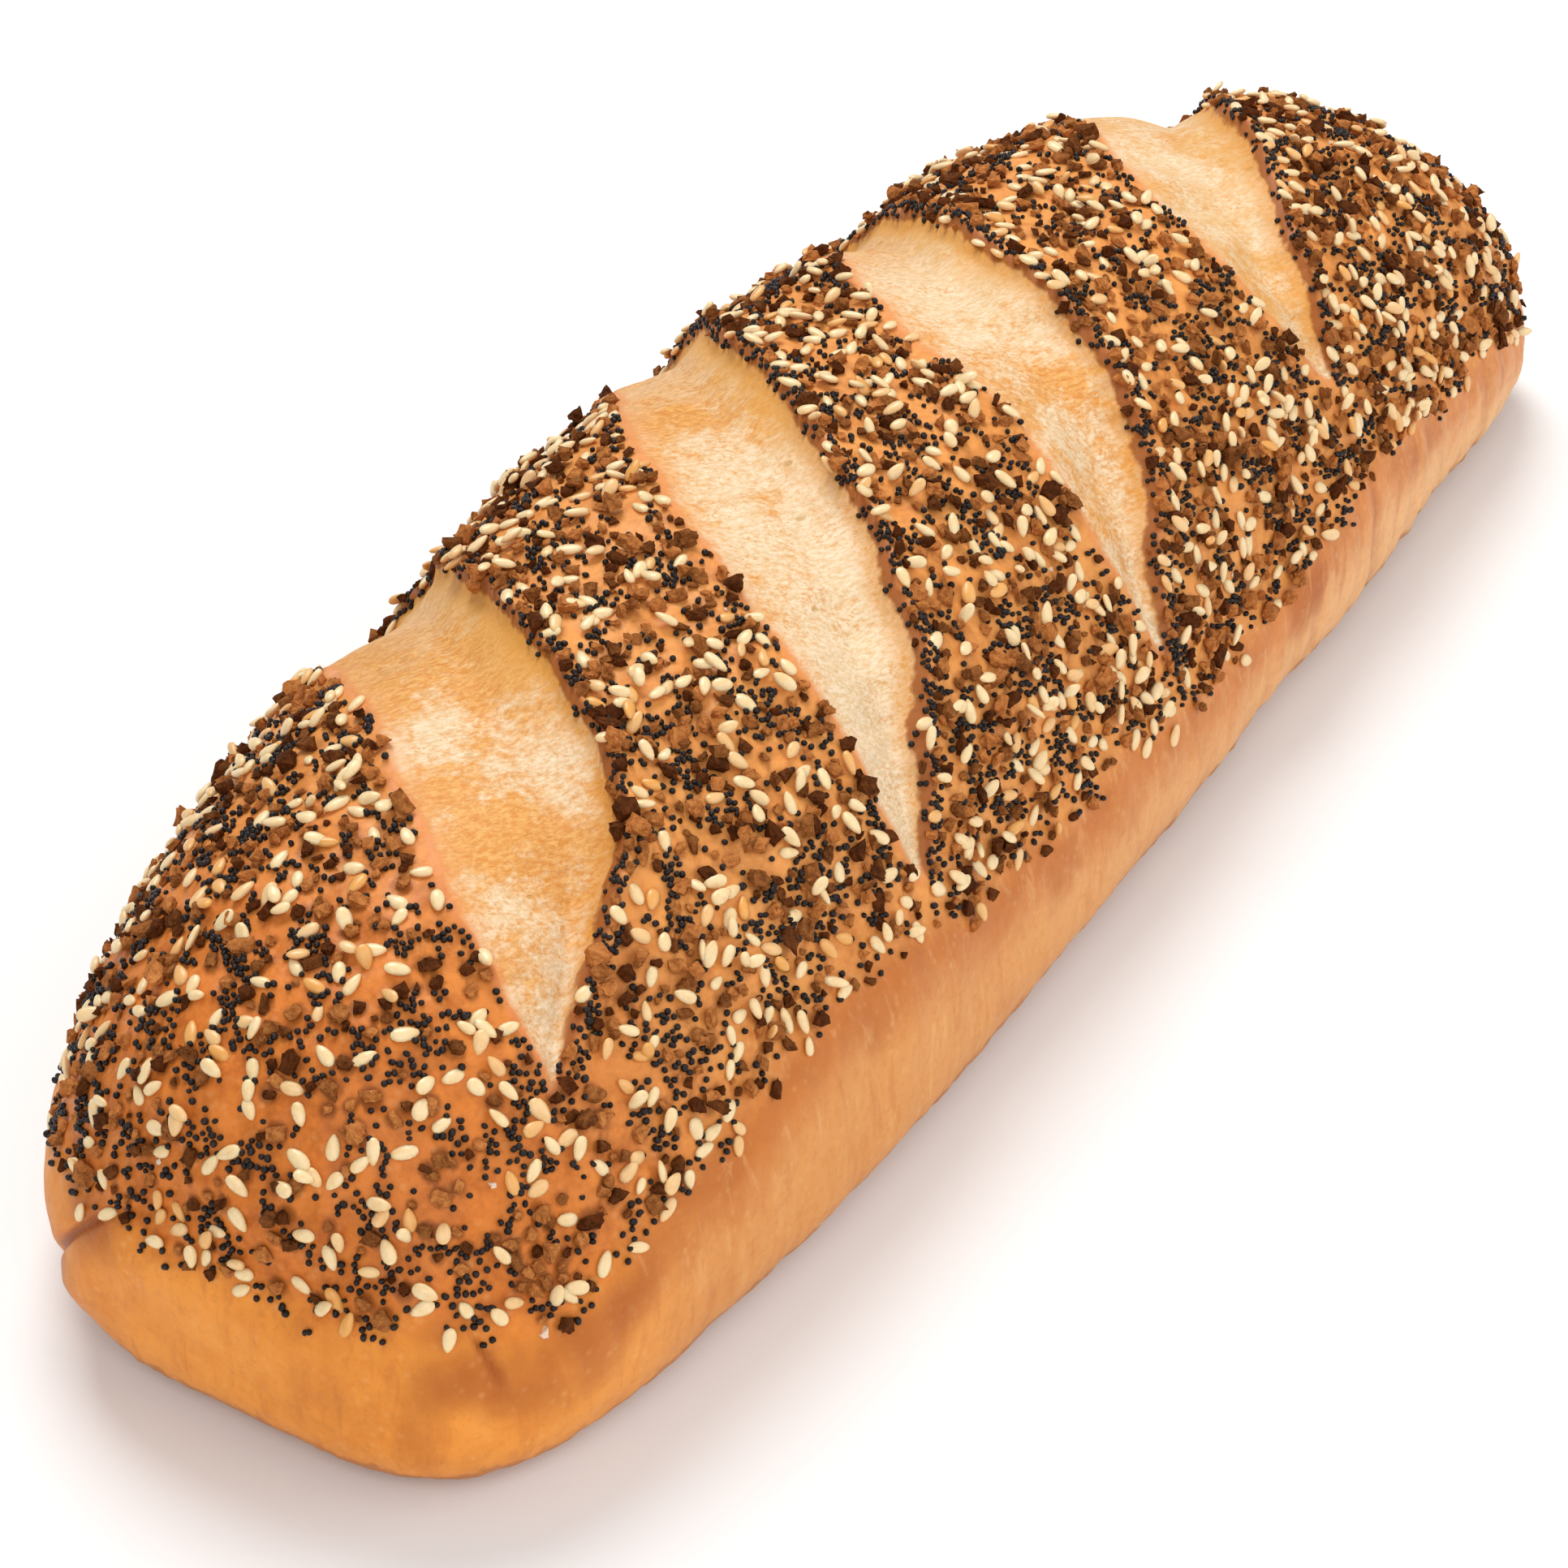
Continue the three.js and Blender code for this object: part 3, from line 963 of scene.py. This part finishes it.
along_lip = bell(quad_inside + 0.9, 1.2) * smooth_step(quad_across, 0.3, 1.0)
poppy_share = seeded * (0.12 + 1.9 * poppy_groups(centres) ** 1.3 + 2.2 * along_lip)
spots, normals = places(poppy_share, POPPY_TRIES)
poppy_radius = POPPY_RADIUS * random.normal(1, 0.09, POPPY_TRIES).clip(0.75, 1.25)
kept, lifts = settle(spots, poppy_radius, tall=0.75, closeness=0.72, climbs=0.0)
spots, normals, poppy_radius = spots[kept], normals[kept], poppy_radius[kept]
poppy_size = poppy_radius[:, None] * random.uniform(0.88, 1.12, (len(kept), 3))
poppy_spots = spots + normals * (lifts + POPPY_SEAT * poppy_radius)[:, None]
poppy_frames = spin_frames(normals, POPPY_TILT)
poppy_tone = random.uniform(size=len(kept))
poppy_pieces = copies_by_place("poppy_seeds", POPPY_BORDERS, poppy_shapes, poppy_spots, poppy_frames,
                               poppy_size, poppy_tone)

# %% Scatter a few salt grains
SALT_TRIES = 90
SALT_RADIUS = (0.35, 0.75)
SALT_STRETCH = [0.8, 0.8, 0.5], [1.3, 1.1, 0.9]
SALT_SEAT = 0.3
SALT_TILT = 0.4

spots, normals = places(seeded, SALT_TRIES)
salt_radius = random.uniform(*SALT_RADIUS, SALT_TRIES)
kept, lifts = settle(spots, salt_radius, tall=0.6, closeness=0.9, climbs=0.0)
salt_size = salt_radius[kept][:, None] * random.uniform(*SALT_STRETCH, (len(kept), 3))
salt_spots = spots[kept] + normals[kept] * (SALT_SEAT * salt_size[:, 2])[:, None]
salt_frames = spin_frames(normals[kept], SALT_TILT)
salt_tone = random.uniform(size=len(kept))
salt = copies("salt_grains", crumb_shapes[:5], salt_spots, salt_frames, salt_size, salt_tone, smooth=False)

# %% [markdown]
# ## What the finish needs to know
# The crust is darker round the crumbs, partly a stain where they burnt and partly painted shade at their
# feet, so each point of the skin learns how far it is from the nearest crumb. It also keeps its place in the
# cuts, its height over the seed line, how much darker the bare wall is painted, which is brown bake along the
# wall and painted shade round the near end, its corner and its folds, and how strongly the oven toasted the
# cuts.

# %% Stains and painted shade round the crumbs
STAIN_AND_SHADE_REACH = 1.1
CRUMB_FOOT = 0.7
POPPY_STAIN_AND_SHADE = 0.6

tree_of_crumbs = KDTree(len(crumb_spots))
for i, spot in enumerate(crumb_spots):
    tree_of_crumbs.insert(spot, i)
tree_of_crumbs.balance()
# The crust darkens at the foot of each crumb and among the poppy seeds: partly stain, partly painted shade.
stain_and_shade = np.zeros(len(skin))
for i in np.flatnonzero(over_line > -8):
    found, which, gap = tree_of_crumbs.find(skin[i])
    reach = STAIN_AND_SHADE_REACH * (0.5 + crumb_radius[which] / 2)
    stain_and_shade[i] = bell(max(0.0, gap - CRUMB_FOOT * crumb_radius[which]), reach)
stain_and_shade = np.maximum(stain_and_shade, POPPY_STAIN_AND_SHADE * poppy_groups(skin))
print("mean stain:", round(stain_and_shade.mean(), 3))

# %% Where the oven caught the wall and the cuts, and painted shade at the near end
# Each is a centre, a radius and a strength.
# The spots round the near end and its corner, at x from -137 to -167, are painted shade; those further along
# the wall are brown patches of bake.
BAKE_AND_SHADE_SPOTS = [((-163, 18, 12), 13, 0.6), ((-165, 9, 27), 9, 0.95), ((-167, 3, 22), 8, 0.35),
              ((-159, -45, 22), 8, 0.8), ((-154, -49, 20), 9, 1.0), ((-146, -52, 22), 9, 0.75),
              ((-137, -54, 23), 8, 0.85), ((-160, -44, 32), 9, 0.7), ((-161, -43, 12), 10, 0.45),
              ((-166, -35, 14), 9, 0.25), ((-118, -56, 30), 12, 0.4), ((-84, -57, 28), 9, 0.4),
              ((-30, -60, 22), 11, 0.35), ((55, -56, 20), 9, 0.5), ((95, -53, 22), 12, 0.5),
              ((60, -57, 8), 9, 0.35), ((135, -48, 12), 12, 0.4)]
TOAST_SPOTS = [((-80, 9, 69), 12, 0.3), ((-101, -24, 66), 10, 0.2), ((-99, 6, 68), 9, -0.3),
               ((-107, -13, 67), 6, 0.15), ((-90, -13, 69), 8, -0.28), ((-52, -42, 56), 13, -0.5),
               ((-34, -11, 71), 14, -0.06), ((38, 12, 70), 12, -0.25), ((31, -23, 66), 8, 0.4),
               ((17, -41, 54), 9, 0.26), ((81, -33, 56), 12, 0.3), ((-13, 15, 71), 10, 0.3),
               ((128, 0, 62), 22, 0.12)]
BAKE_UNEVEN = [(0.16, 24, 61), (0.1, 9, 62)]

toast = sum(patches(TOAST_SPOTS))
darkening = np.max([fold_shade, *patches(BAKE_AND_SHADE_SPOTS, squash=(1, 1, 1.2))], axis=0)
# Darker in the grooves of the wrinkles, as painted shade.
darkening += uneven(points, BAKE_UNEVEN) - 0.8 * wrinkles
print("strongest bake:", round(darkening.max(), 2))

# %% Paint the skin
SKIN_NUMBERS = {
    "darkening": darkening,
    "cut_inside": np.clip(cut_inside, -12, 14),
    "cut_across": cut_across,
    "crease_shade": crease_shade,
    "over_line": over_line,
    "stain_and_shade": stain_and_shade,
    "toast": toast,
}
for name, values in SKIN_NUMBERS.items():
    paint(loaf, name, values)
print("painted:", ", ".join(SKIN_NUMBERS))

# %% [markdown]
# ## Two effects that several finishes share
# Everything here was browned in the same oven, so everything shows the same two things: blotches of
# darker and lighter bake, and a fine dry grain. Each is a node group, built once and placed in each
# finish with its own colours and sizes. The first gives a colour, the second a height for a Bump node.

# %% Group: oven mottle
def new_group(name, inputs, outputs):
    """An empty shader node group, with the sockets that feed it and the sockets that it feeds."""
    group = bpy.data.node_groups.new(name, "ShaderNodeTree")
    for label, kind in inputs:
        group.interface.new_socket(label, in_out="INPUT", socket_type="NodeSocket" + kind)
    for label, kind in outputs:
        group.interface.new_socket(label, in_out="OUTPUT", socket_type="NodeSocket" + kind)
    entry = group.nodes.new("NodeGroupInput")
    result = group.nodes.new("NodeGroupOutput")
    return group, entry.outputs, result.inputs


FINE_PER_BROAD = 5.3
FINE_WEIGHT = 0.45
DARK_FROM, DARK_TO = 0.45, 1.05

mottle, given, result = new_group(
    "oven mottle",
    [("Place", "Vector"), ("Scale", "Float"), ("Pale", "Color"), ("Dark", "Color"), ("Bake", "Float")],
    [("Colour", "Color")])
broad_blotches = noise(mottle, given["Place"], given["Scale"], 5, 0.6)
fine_blotches = noise(mottle, given["Place"], times(mottle, given["Scale"], FINE_PER_BROAD), 3, 0.5)
browned = sum_of(mottle, broad_blotches, times(mottle, fine_blotches, FINE_WEIGHT), given["Bake"])
dark_share = between(mottle, browned, DARK_FROM, DARK_TO)
mottle.links.new(mixed(mottle, dark_share, given["Pale"], given["Dark"]), result["Colour"])
print("group:", mottle.name)

# %% Group: dry grain
PITS_PER_POWDER = 0.55

grain, given, result = new_group(
    "dry grain", [("Place", "Vector"), ("Scale", "Float"), ("Pits", "Float")], [("Height", "Float")])
powder = noise(grain, given["Place"], given["Scale"], 4, 0.65)
pit_cells = cells(grain, given["Place"], times(grain, given["Scale"], PITS_PER_POWDER))
pits = between(grain, pit_cells, 0.05, 0.32, bottom=-1.0, top=0.0)
grain.links.new(sum_of(grain, powder, times(grain, pits, given["Pits"])), result["Height"])
print("group:", grain.name)


# %% Place a group in a material
def mottled(tree, place, scale, pale, dark, darkening):
    """The oven mottle: blotches from pale to dark, and more of the dark as bake rises."""
    feeds = {"Place": place, "Scale": scale, "Pale": pale, "Dark": dark, "Bake": darkening}
    return put(tree, "ShaderNodeGroup", feeds, node_tree=mottle)


def grained(tree, place, scale, pits):
    """The dry grain: a fine powdery height with pits pressed into it."""
    return put(tree, "ShaderNodeGroup", {"Place": place, "Scale": scale, "Pits": pits}, node_tree=grain)


# %% [markdown]
# ## Finish of the loaf
# One body, one finish: real crust runs over into real crumb without a seam. The masks decide what shows.
# The plain wall goes from pale gold at the foot to a redder band under the seeds, partly paler crust and
# partly painted light bounced from the table, and it is painted paler towards the far end, as painted light.
# Its near end, its corner and its folds are painted darker, as painted shade. The seeded top is deeper brown,
# with stains and painted shade round the crumbs. The cuts are cream with orange toast where the oven's heat
# caught them, a golden slope under the far lip with a dark line at its foot, partly painted shadow of the
# lip, and a rosy border at the near one. The valleys between the fibres and the pores are painted in shade,
# the fibre ridges painted lit.
# Each part of the surface is built like paint: a ground colour, then a list of coats over it, each with
# a mask, a strength and a tint. Ragged noise is added to a mask's measure before its two limits are
# read, so that no edge is drawn with a ruler.

# %% Loaf: masks
loaf_finish, tree, shader, place = new_material("baked crust")
apart = put(tree, "ShaderNodeSeparateXYZ", {0: place}).node
length_mm, width_mm, height_mm = (times(tree, apart.outputs[axis], 1 / MM) for axis in "XYZ")
ragged = sum_of(tree, cloud(tree, place, 1.6, 4), -0.5)


def frayed(tree, value, amount):
    """A measure with ragged noise added, this many of its own units from low to high."""
    return sum_of(tree, value, times(tree, ragged, amount))


def coated(tree, ground, coats):
    """A ground colour with coats laid over it, each a mask, a strength and a tint."""
    for mask, strength, tint in coats:
        ground = mixed(tree, times(tree, mask, strength), ground, tint)
    return ground


inside_mm = frayed(tree, painted(tree, "cut_inside"), 1.1)
cut_mask = between(tree, inside_mm, -0.25, 0.35)
across = painted(tree, "cut_across")
near_side = between(tree, across, -0.1, -0.7)
far_side = between(tree, across, 0.2, 0.8)
upness = between(tree, height_mm, 44, 68)
over = frayed(tree, painted(tree, "over_line"), 5.0)
print("masks made")

# %% Loaf: crust tints
# Where there are two, the first is for the near end of the loaf and the second for the far end.
WALL_GOLD = rgba(0.69, 0.29, 0.078), rgba(0.82, 0.46, 0.21)
WALL_RUDDY = rgba(0.56, 0.17, 0.03), rgba(0.70, 0.26, 0.075)
WALL_DEEP = rgba(0.46, 0.14, 0.03)
END_GOLD = rgba(0.84, 0.31, 0.045)
END_DEEP = rgba(0.68, 0.20, 0.018)
BAKED_AND_SHADED_PATCH = rgba(0.41, 0.105, 0.016)
SPECKLE = rgba(0.50, 0.15, 0.022)
DARK_STREAK = rgba(0.52, 0.15, 0.03)
PALE_STREAK = rgba(0.84, 0.48, 0.20)
FOOT_LINE_AND_SHADE = rgba(0.42, 0.14, 0.028)
CREASE_SHADE = rgba(0.30, 0.07, 0.01)
TOP_PALE = rgba(0.70, 0.21, 0.035), rgba(0.80, 0.33, 0.085)
TOP_DARK = rgba(0.42, 0.10, 0.012), rgba(0.56, 0.18, 0.035)
STAIN_AND_SHADE = rgba(0.23, 0.058, 0.008)
BLISTER = rgba(0.86, 0.50, 0.20)
BASE_PALE = rgba(0.52, 0.25, 0.09)
BASE_DARK = rgba(0.30, 0.115, 0.035)
print("crust tints named")

# %% Loaf: wall colour
# The wall is painted paler towards the far end, as painted light where more light falls, and paler low on the
# wall, partly paler crust and partly painted light bounced up from the table.
towards_far = between(tree, length_mm, -110, 150)
end_warmth = between(tree, length_mm, -112, -158)
gold = mixed(tree, towards_far, *WALL_GOLD)
ruddy = mixed(tree, towards_far, *WALL_RUDDY)
wall_low = mottled(tree, place, 60, gold, ruddy, darkening=-0.32)
wall_high = mottled(tree, place, 85, ruddy, WALL_DEEP, darkening=-0.12)
end_colour = mottled(tree, place, 50, END_GOLD, END_DEEP, darkening=-0.14)
upright = put(tree, "ShaderNodeMapping", {"Vector": place, "Scale": (1, 1, 5)}, vector_type="TEXTURE")
streaks = noise(tree, upright, 420, 4, 0.6, distortion=0.5)
fewer_at_end = sum_of(tree, 0.3, times(tree, end_warmth, -0.25))
wall = coated(tree, mixed(tree, between(tree, over, -13, -1.0), wall_low, wall_high), [
    (end_warmth, 0.9, end_colour),
    # Brown patches of bake along the wall, and painted shade round the near end, its corner and its folds.
    (between(tree, frayed(tree, painted(tree, "darkening"), 0.25), 0.1, 1.0), 0.9, BAKED_AND_SHADED_PATCH),
    (between(tree, cloud(tree, place, 0.9, 3, 0.65), 0.5, 0.68), 0.22, SPECKLE),
    (between(tree, streaks, 0.5, 0.72), 0.4, DARK_STREAK),
    (between(tree, streaks, 0.46, 0.28), fewer_at_end, PALE_STREAK),
    # Darker at the foot of the wall: partly crust browned on the tray, partly painted shade under the
    # tucked-in foot.
    (between(tree, frayed(tree, height_mm, 6.0), 6.4, 4.9), 0.7, FOOT_LINE_AND_SHADE),
    # Painted shade in the groove of each fold.
    (painted(tree, "crease_shade"), 0.85, CREASE_SHADE),
])
print("wall colour made")

# %% Loaf: seeded top, pale blisters and the dark base
near_top = between(tree, length_mm, -95, -150)
top_pale = mixed(tree, near_top, *reversed(TOP_PALE))
top_dark = mixed(tree, near_top, *reversed(TOP_DARK))
# Darker round the crumbs and among the poppy seeds: partly stain, partly painted shade.
stain_and_shade_mask = between(tree, frayed(tree, painted(tree, "stain_and_shade"), 0.6), 0.45, 1.05)
stain_and_shade_strength = sum_of(tree, 0.42, times(tree, near_top, 0.35))
top_crust = mottled(tree, place, 170, top_pale, top_dark, darkening=-0.08)
top_crust = coated(tree, top_crust, [(stain_and_shade_mask, stain_and_shade_strength, STAIN_AND_SHADE)])
crust = mixed(tree, between(tree, over, -2.0, 4.5), wall, top_crust)

blister_patches = between(tree, cloud(tree, place, 4, 4), 0.42, 0.62)
blisters = times(tree, between(tree, cells(tree, place, 560), 0.42, 0.05), blister_patches)
base_colour = mottled(tree, place, 120, BASE_PALE, BASE_DARK, darkening=0.0)
crust = coated(tree, crust, [
    (blisters, 0.2, BLISTER),
    (between(tree, height_mm, 0.5, 0.1), 1.0, base_colour),
])
print("crust colour made")

# %% Loaf: cut tints
# The first of two is the valley between the fibres, painted in shade, the second is the ridge, painted lit.
CREAM_SHADED_AND_LIT = rgba(0.71, 0.49, 0.26), rgba(0.83, 0.67, 0.47)
TOAST_SHADED_AND_LIT = rgba(0.64, 0.25, 0.05), rgba(0.79, 0.43, 0.145)
BACK_GOLD_SHADED_AND_LIT = rgba(0.54, 0.20, 0.037), rgba(0.72, 0.37, 0.095)
GRANULE = rgba(0.66, 0.27, 0.06)
FAR_CUT_TAN = rgba(0.70, 0.38, 0.12)
FAR_SLOPE_GOLD = rgba(0.67, 0.34, 0.08)
NEAR_GLOW = rgba(0.78, 0.38, 0.17)
NEAR_RIM = rgba(0.70, 0.25, 0.075)
WARM_EDGE = rgba(0.69, 0.29, 0.045)
LIP_EDGE_AND_SHADOW = rgba(0.30, 0.075, 0.01)
PORE_SHADE = rgba(0.46, 0.27, 0.07)
ROSY_BORDER = rgba(0.70, 0.25, 0.10)
BURNT_LIP = rgba(0.26, 0.06, 0.008)
print("cut tints named")


# %% Loaf: fibres and toast in the cuts
def along_fibres(tree, place, stretch):
    """Places stretched by this much along the way that the torn fibres run."""
    feeds = {"Vector": place, "Rotation": (0, 0, FIBRE_TURN), "Scale": (stretch, 1, 1)}
    return put(tree, "ShaderNodeMapping", feeds, vector_type="TEXTURE")


turned = along_fibres(tree, place, 2.2)
fine_fibre = noise(tree, turned, 1600, 5, 0.68, distortion=0.4)
soft_fibre = noise(tree, turned, 330, 4, 0.6, distortion=0.6)
near_cut = between(tree, length_mm, -56, -84)
toast_patches = sum_of(
    tree,
    times(tree, cloud(tree, place, 8, 3, 0.55), 0.9),
    times(tree, soft_fibre, 0.25),
    times(tree, cloud(tree, place, 2.2, 3, 0.6), 0.7),
    times(tree, cloud(tree, place, 0.7, 3, 0.75), 0.8),
    times(tree, upness, 0.14),
    times(tree, near_cut, 0.16),
    times(tree, near_side, upness, 0.16),
    painted(tree, "toast"))
# The fine noise sets both the fibres' height and these tints: valleys painted in shade, ridges painted lit.
fibre_shaded_cream = mixed(tree, between(tree, fine_fibre, 0.36, 0.64), *CREAM_SHADED_AND_LIT)
toast = mixed(tree, between(tree, fine_fibre, 0.33, 0.67), *TOAST_SHADED_AND_LIT)
fibre_shaded_back_gold = mixed(tree, between(tree, fine_fibre, 0.36, 0.64), *BACK_GOLD_SHADED_AND_LIT)
cut_colour = mixed(tree, between(tree, toast_patches, 1.38, 1.8), fibre_shaded_cream, toast)
print("cut ground made")

# %% Loaf: coats in the cuts
granules = times(tree, between(tree, cloud(tree, place, 0.5, 2, 0.6), 0.53, 0.62),
                 between(tree, cloud(tree, place, 5, 3), 0.42, 0.6))
far_down_back = between(tree, frayed(tree, width_mm, 14.0), 5, 30)
more_at_near_cut = sum_of(tree, 0.6, times(tree, near_cut, 0.32))
far_cuts = times(tree, between(tree, length_mm, 20, 90), between(tree, cloud(tree, place, 4, 3), 0.35, 0.65))
far_slope = times(tree, between(tree, frayed(tree, across, 0.5), 0.25, 0.95),
                  between(tree, width_mm, -18, 8))
# The pores are holes in the crumb, painted darker inside as painted shade.
pores = times(tree, between(tree, cells(tree, along_fibres(tree, place, 2), 230), 0.13, 0.06),
              between(tree, cloud(tree, place, 6), 0.5, 0.6))
cut_colour = coated(tree, cut_colour, [
    (granules, 0.6, GRANULE),
    (far_down_back, more_at_near_cut, fibre_shaded_back_gold),
    (far_cuts, 0.5, FAR_CUT_TAN),
    (far_slope, 0.68, FAR_SLOPE_GOLD),
    (times(tree, between(tree, inside_mm, 5.5, 0.5), near_side, upness), 0.35, NEAR_GLOW),
    (times(tree, between(tree, inside_mm, 1.6, 0.0), near_side), 0.65, NEAR_RIM),
    (times(tree, between(tree, inside_mm, 4.2, 0.4), far_side), 0.62, WARM_EDGE),
    # A dark line at the foot of the far lip: partly its toasted edge, partly painted shadow of the lip.
    (times(tree, between(tree, inside_mm, 0.75, 0.35), far_side), 0.85, LIP_EDGE_AND_SHADOW),
    (pores, 0.6, PORE_SHADE),
])
print("cut colour made")

# %% Loaf: border and final colour
border = times(tree, between(tree, inside_mm, -1.5, -0.2), between(tree, inside_mm, 0.5, -0.2))
burnt_lip = times(tree, between(tree, inside_mm, -1.0, -0.2), far_side)
crust = coated(tree, crust, [(border, 0.45, ROSY_BORDER), (burnt_lip, 0.75, BURNT_LIP)])
loaf_colour = mixed(tree, cut_mask, crust, cut_colour)
print("final colour made")

# %% Loaf: gloss and grain
CRUST_GLOSS = rgba(0.5, 0.5, 0.5)
CRUMB_GLOSS = rgba(0.78, 0.78, 0.78)
CRUST_BUMP = 0.11
CRUMB_BUMP = 0.2

on_crust = sum_of(tree, 1.0, times(tree, cut_mask, -1.0))
crust_lumps = sum_of(tree, grained(tree, place, 1300, pits=0.5), times(tree, cloud(tree, place, 1.4, 3), 2.6))
fibre_height = sum_of(tree, fine_fibre, times(tree, soft_fibre, 1.2), times(tree, pores, -0.8))
crust_bump = bumped(tree, times(tree, crust_lumps, on_crust), CRUST_BUMP)
feed(tree, shader, {
    "Base Color": loaf_colour,
    "Roughness": frayed(tree, mixed(tree, cut_mask, CRUST_GLOSS, CRUMB_GLOSS), 0.25),
    "Normal": bumped(tree, times(tree, fibre_height, cut_mask), CRUMB_BUMP, crust_bump),
    "Coat Weight": 0.1,
    "Coat Roughness": 0.28,
    "Subsurface Weight": 0.1,
    "Subsurface Radius": (1.0, 0.5, 0.25),
    "Subsurface Scale": 0.003,
    "Specular IOR Level": 0.14,
})
loaf.data.materials.append(loaf_finish)
print("loaf finish has", len(tree.nodes), "nodes")

# %% [markdown]
# ## Finish of the grains
# Sesame is ivory and faintly translucent, and the oven turned some seeds golden. Poppy is a blue-black
# with a dusty bloom and a net of tiny ridges. The crumbs run from tan to nearly burnt. Each grain carries
# its own tone, so one finish gives a whole handful of different seeds.

# %% Sesame finish
IVORY = rgba(0.84, 0.65, 0.37)
WARM_IVORY = rgba(0.78, 0.50, 0.20)
TOASTED_SEED = rgba(0.74, 0.34, 0.07)
SEED_TIP = rgba(0.68, 0.36, 0.13)
SEED_UNDERSIDE_SHADE = rgba(0.66, 0.30, 0.09)

sesame_finish, tree, shader, place = new_material("sesame")
seed_colour = coated(tree, mottled(tree, place, 700, IVORY, WARM_IVORY, darkening=-0.1), [
    (between(tree, painted(tree, "tone"), 0.6, 1.05), 1.0, TOASTED_SEED),
    (between(tree, painted(tree, "tip"), -0.55, -1.0), 0.5, SEED_TIP),
    # The lower side of each seed is painted darker, as painted shade.
    (between(tree, painted(tree, "top"), 0.15, -0.75), 0.55, SEED_UNDERSIDE_SHADE),
])
feed(tree, shader, {
    "Base Color": seed_colour,
    "Roughness": 0.3,
    "Normal": bumped(tree, grained(tree, place, 2600, pits=0.0), 0.03),
    "Subsurface Weight": 0.2,
    "Subsurface Radius": (1.0, 0.6, 0.3),
    "Subsurface Scale": 0.0008,
})
for piece in sesame_pieces:
    piece.data.materials.append(sesame_finish)
print("sesame finish made")

# %% Poppy finish
BLACK_SEED = rgba(0.007, 0.004, 0.003)
SLATE_SEED = rgba(0.018, 0.012, 0.010)
BLOOM = rgba(0.034, 0.024, 0.022)

poppy_finish, tree, shader, place = new_material("poppy")
slate = mixed(tree, painted(tree, "tone"), BLACK_SEED, SLATE_SEED)
feed(tree, shader, {
    "Base Color": mottled(tree, place, 1500, slate, BLOOM, darkening=-0.12),
    "Roughness": 0.27,
    "Specular IOR Level": 0.22,
    "Normal": bumped(tree, grained(tree, place, 5200, pits=1.0), 0.05),
})
for piece in poppy_pieces:
    piece.data.materials.append(poppy_finish)
print("poppy finish made")

# %% Crumb finish
# In each pair the first is the most burnt crumb and the second the palest.
CRUMB_LIGHT = rgba(0.13, 0.034, 0.007), rgba(0.62, 0.24, 0.065)
CRUMB_DARK = rgba(0.035, 0.009, 0.002), rgba(0.30, 0.08, 0.016)

crumb_finish, tree, shader, place = new_material("toasted crumb")
tone = painted(tree, "tone")
light_brown = mixed(tree, between(tree, tone, 0.05, 0.8), *CRUMB_LIGHT)
dark_brown = mixed(tree, between(tree, tone, 0.1, 0.9), *CRUMB_DARK)
feed(tree, shader, {
    "Base Color": mottled(tree, place, 1000, light_brown, dark_brown, darkening=0.02),
    "Roughness": 0.75,
    "Specular IOR Level": 0.06,
    "Normal": bumped(tree, grained(tree, place, 1700, pits=0.6), 0.4),
})
for piece in crumb_pieces:
    piece.data.materials.append(crumb_finish)
print("crumb finish made")

# %% Salt finish
SALT_CLEAR = rgba(0.78, 0.64, 0.52)
SALT_STAINED = rgba(0.62, 0.40, 0.24)

salt_finish, tree, shader, place = new_material("salt")
feed(tree, shader, {
    "Base Color": mottled(tree, place, 900, SALT_CLEAR, SALT_STAINED, darkening=-0.05),
    "Roughness": 0.22,
    "Subsurface Weight": 0.4,
    "Subsurface Scale": 0.001,
})
salt.data.materials.append(salt_finish)
print("salt finish made")

# %% [markdown]
# ## Tie the pieces to the frame
# Each piece rides on the loaf's one body. The fine skin replaces the plain solid.

# %% Ride and replace
PIECES = [(loaf, "crust"), (salt, "salt")]
PIECES += [(piece, "sesame") for piece in sesame_pieces]
PIECES += [(piece, "poppy") for piece in poppy_pieces]
PIECES += [(piece, "toasted_crumb") for piece in crumb_pieces]
for piece, slot_name in PIECES:
    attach(piece, "root")
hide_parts("loaf")
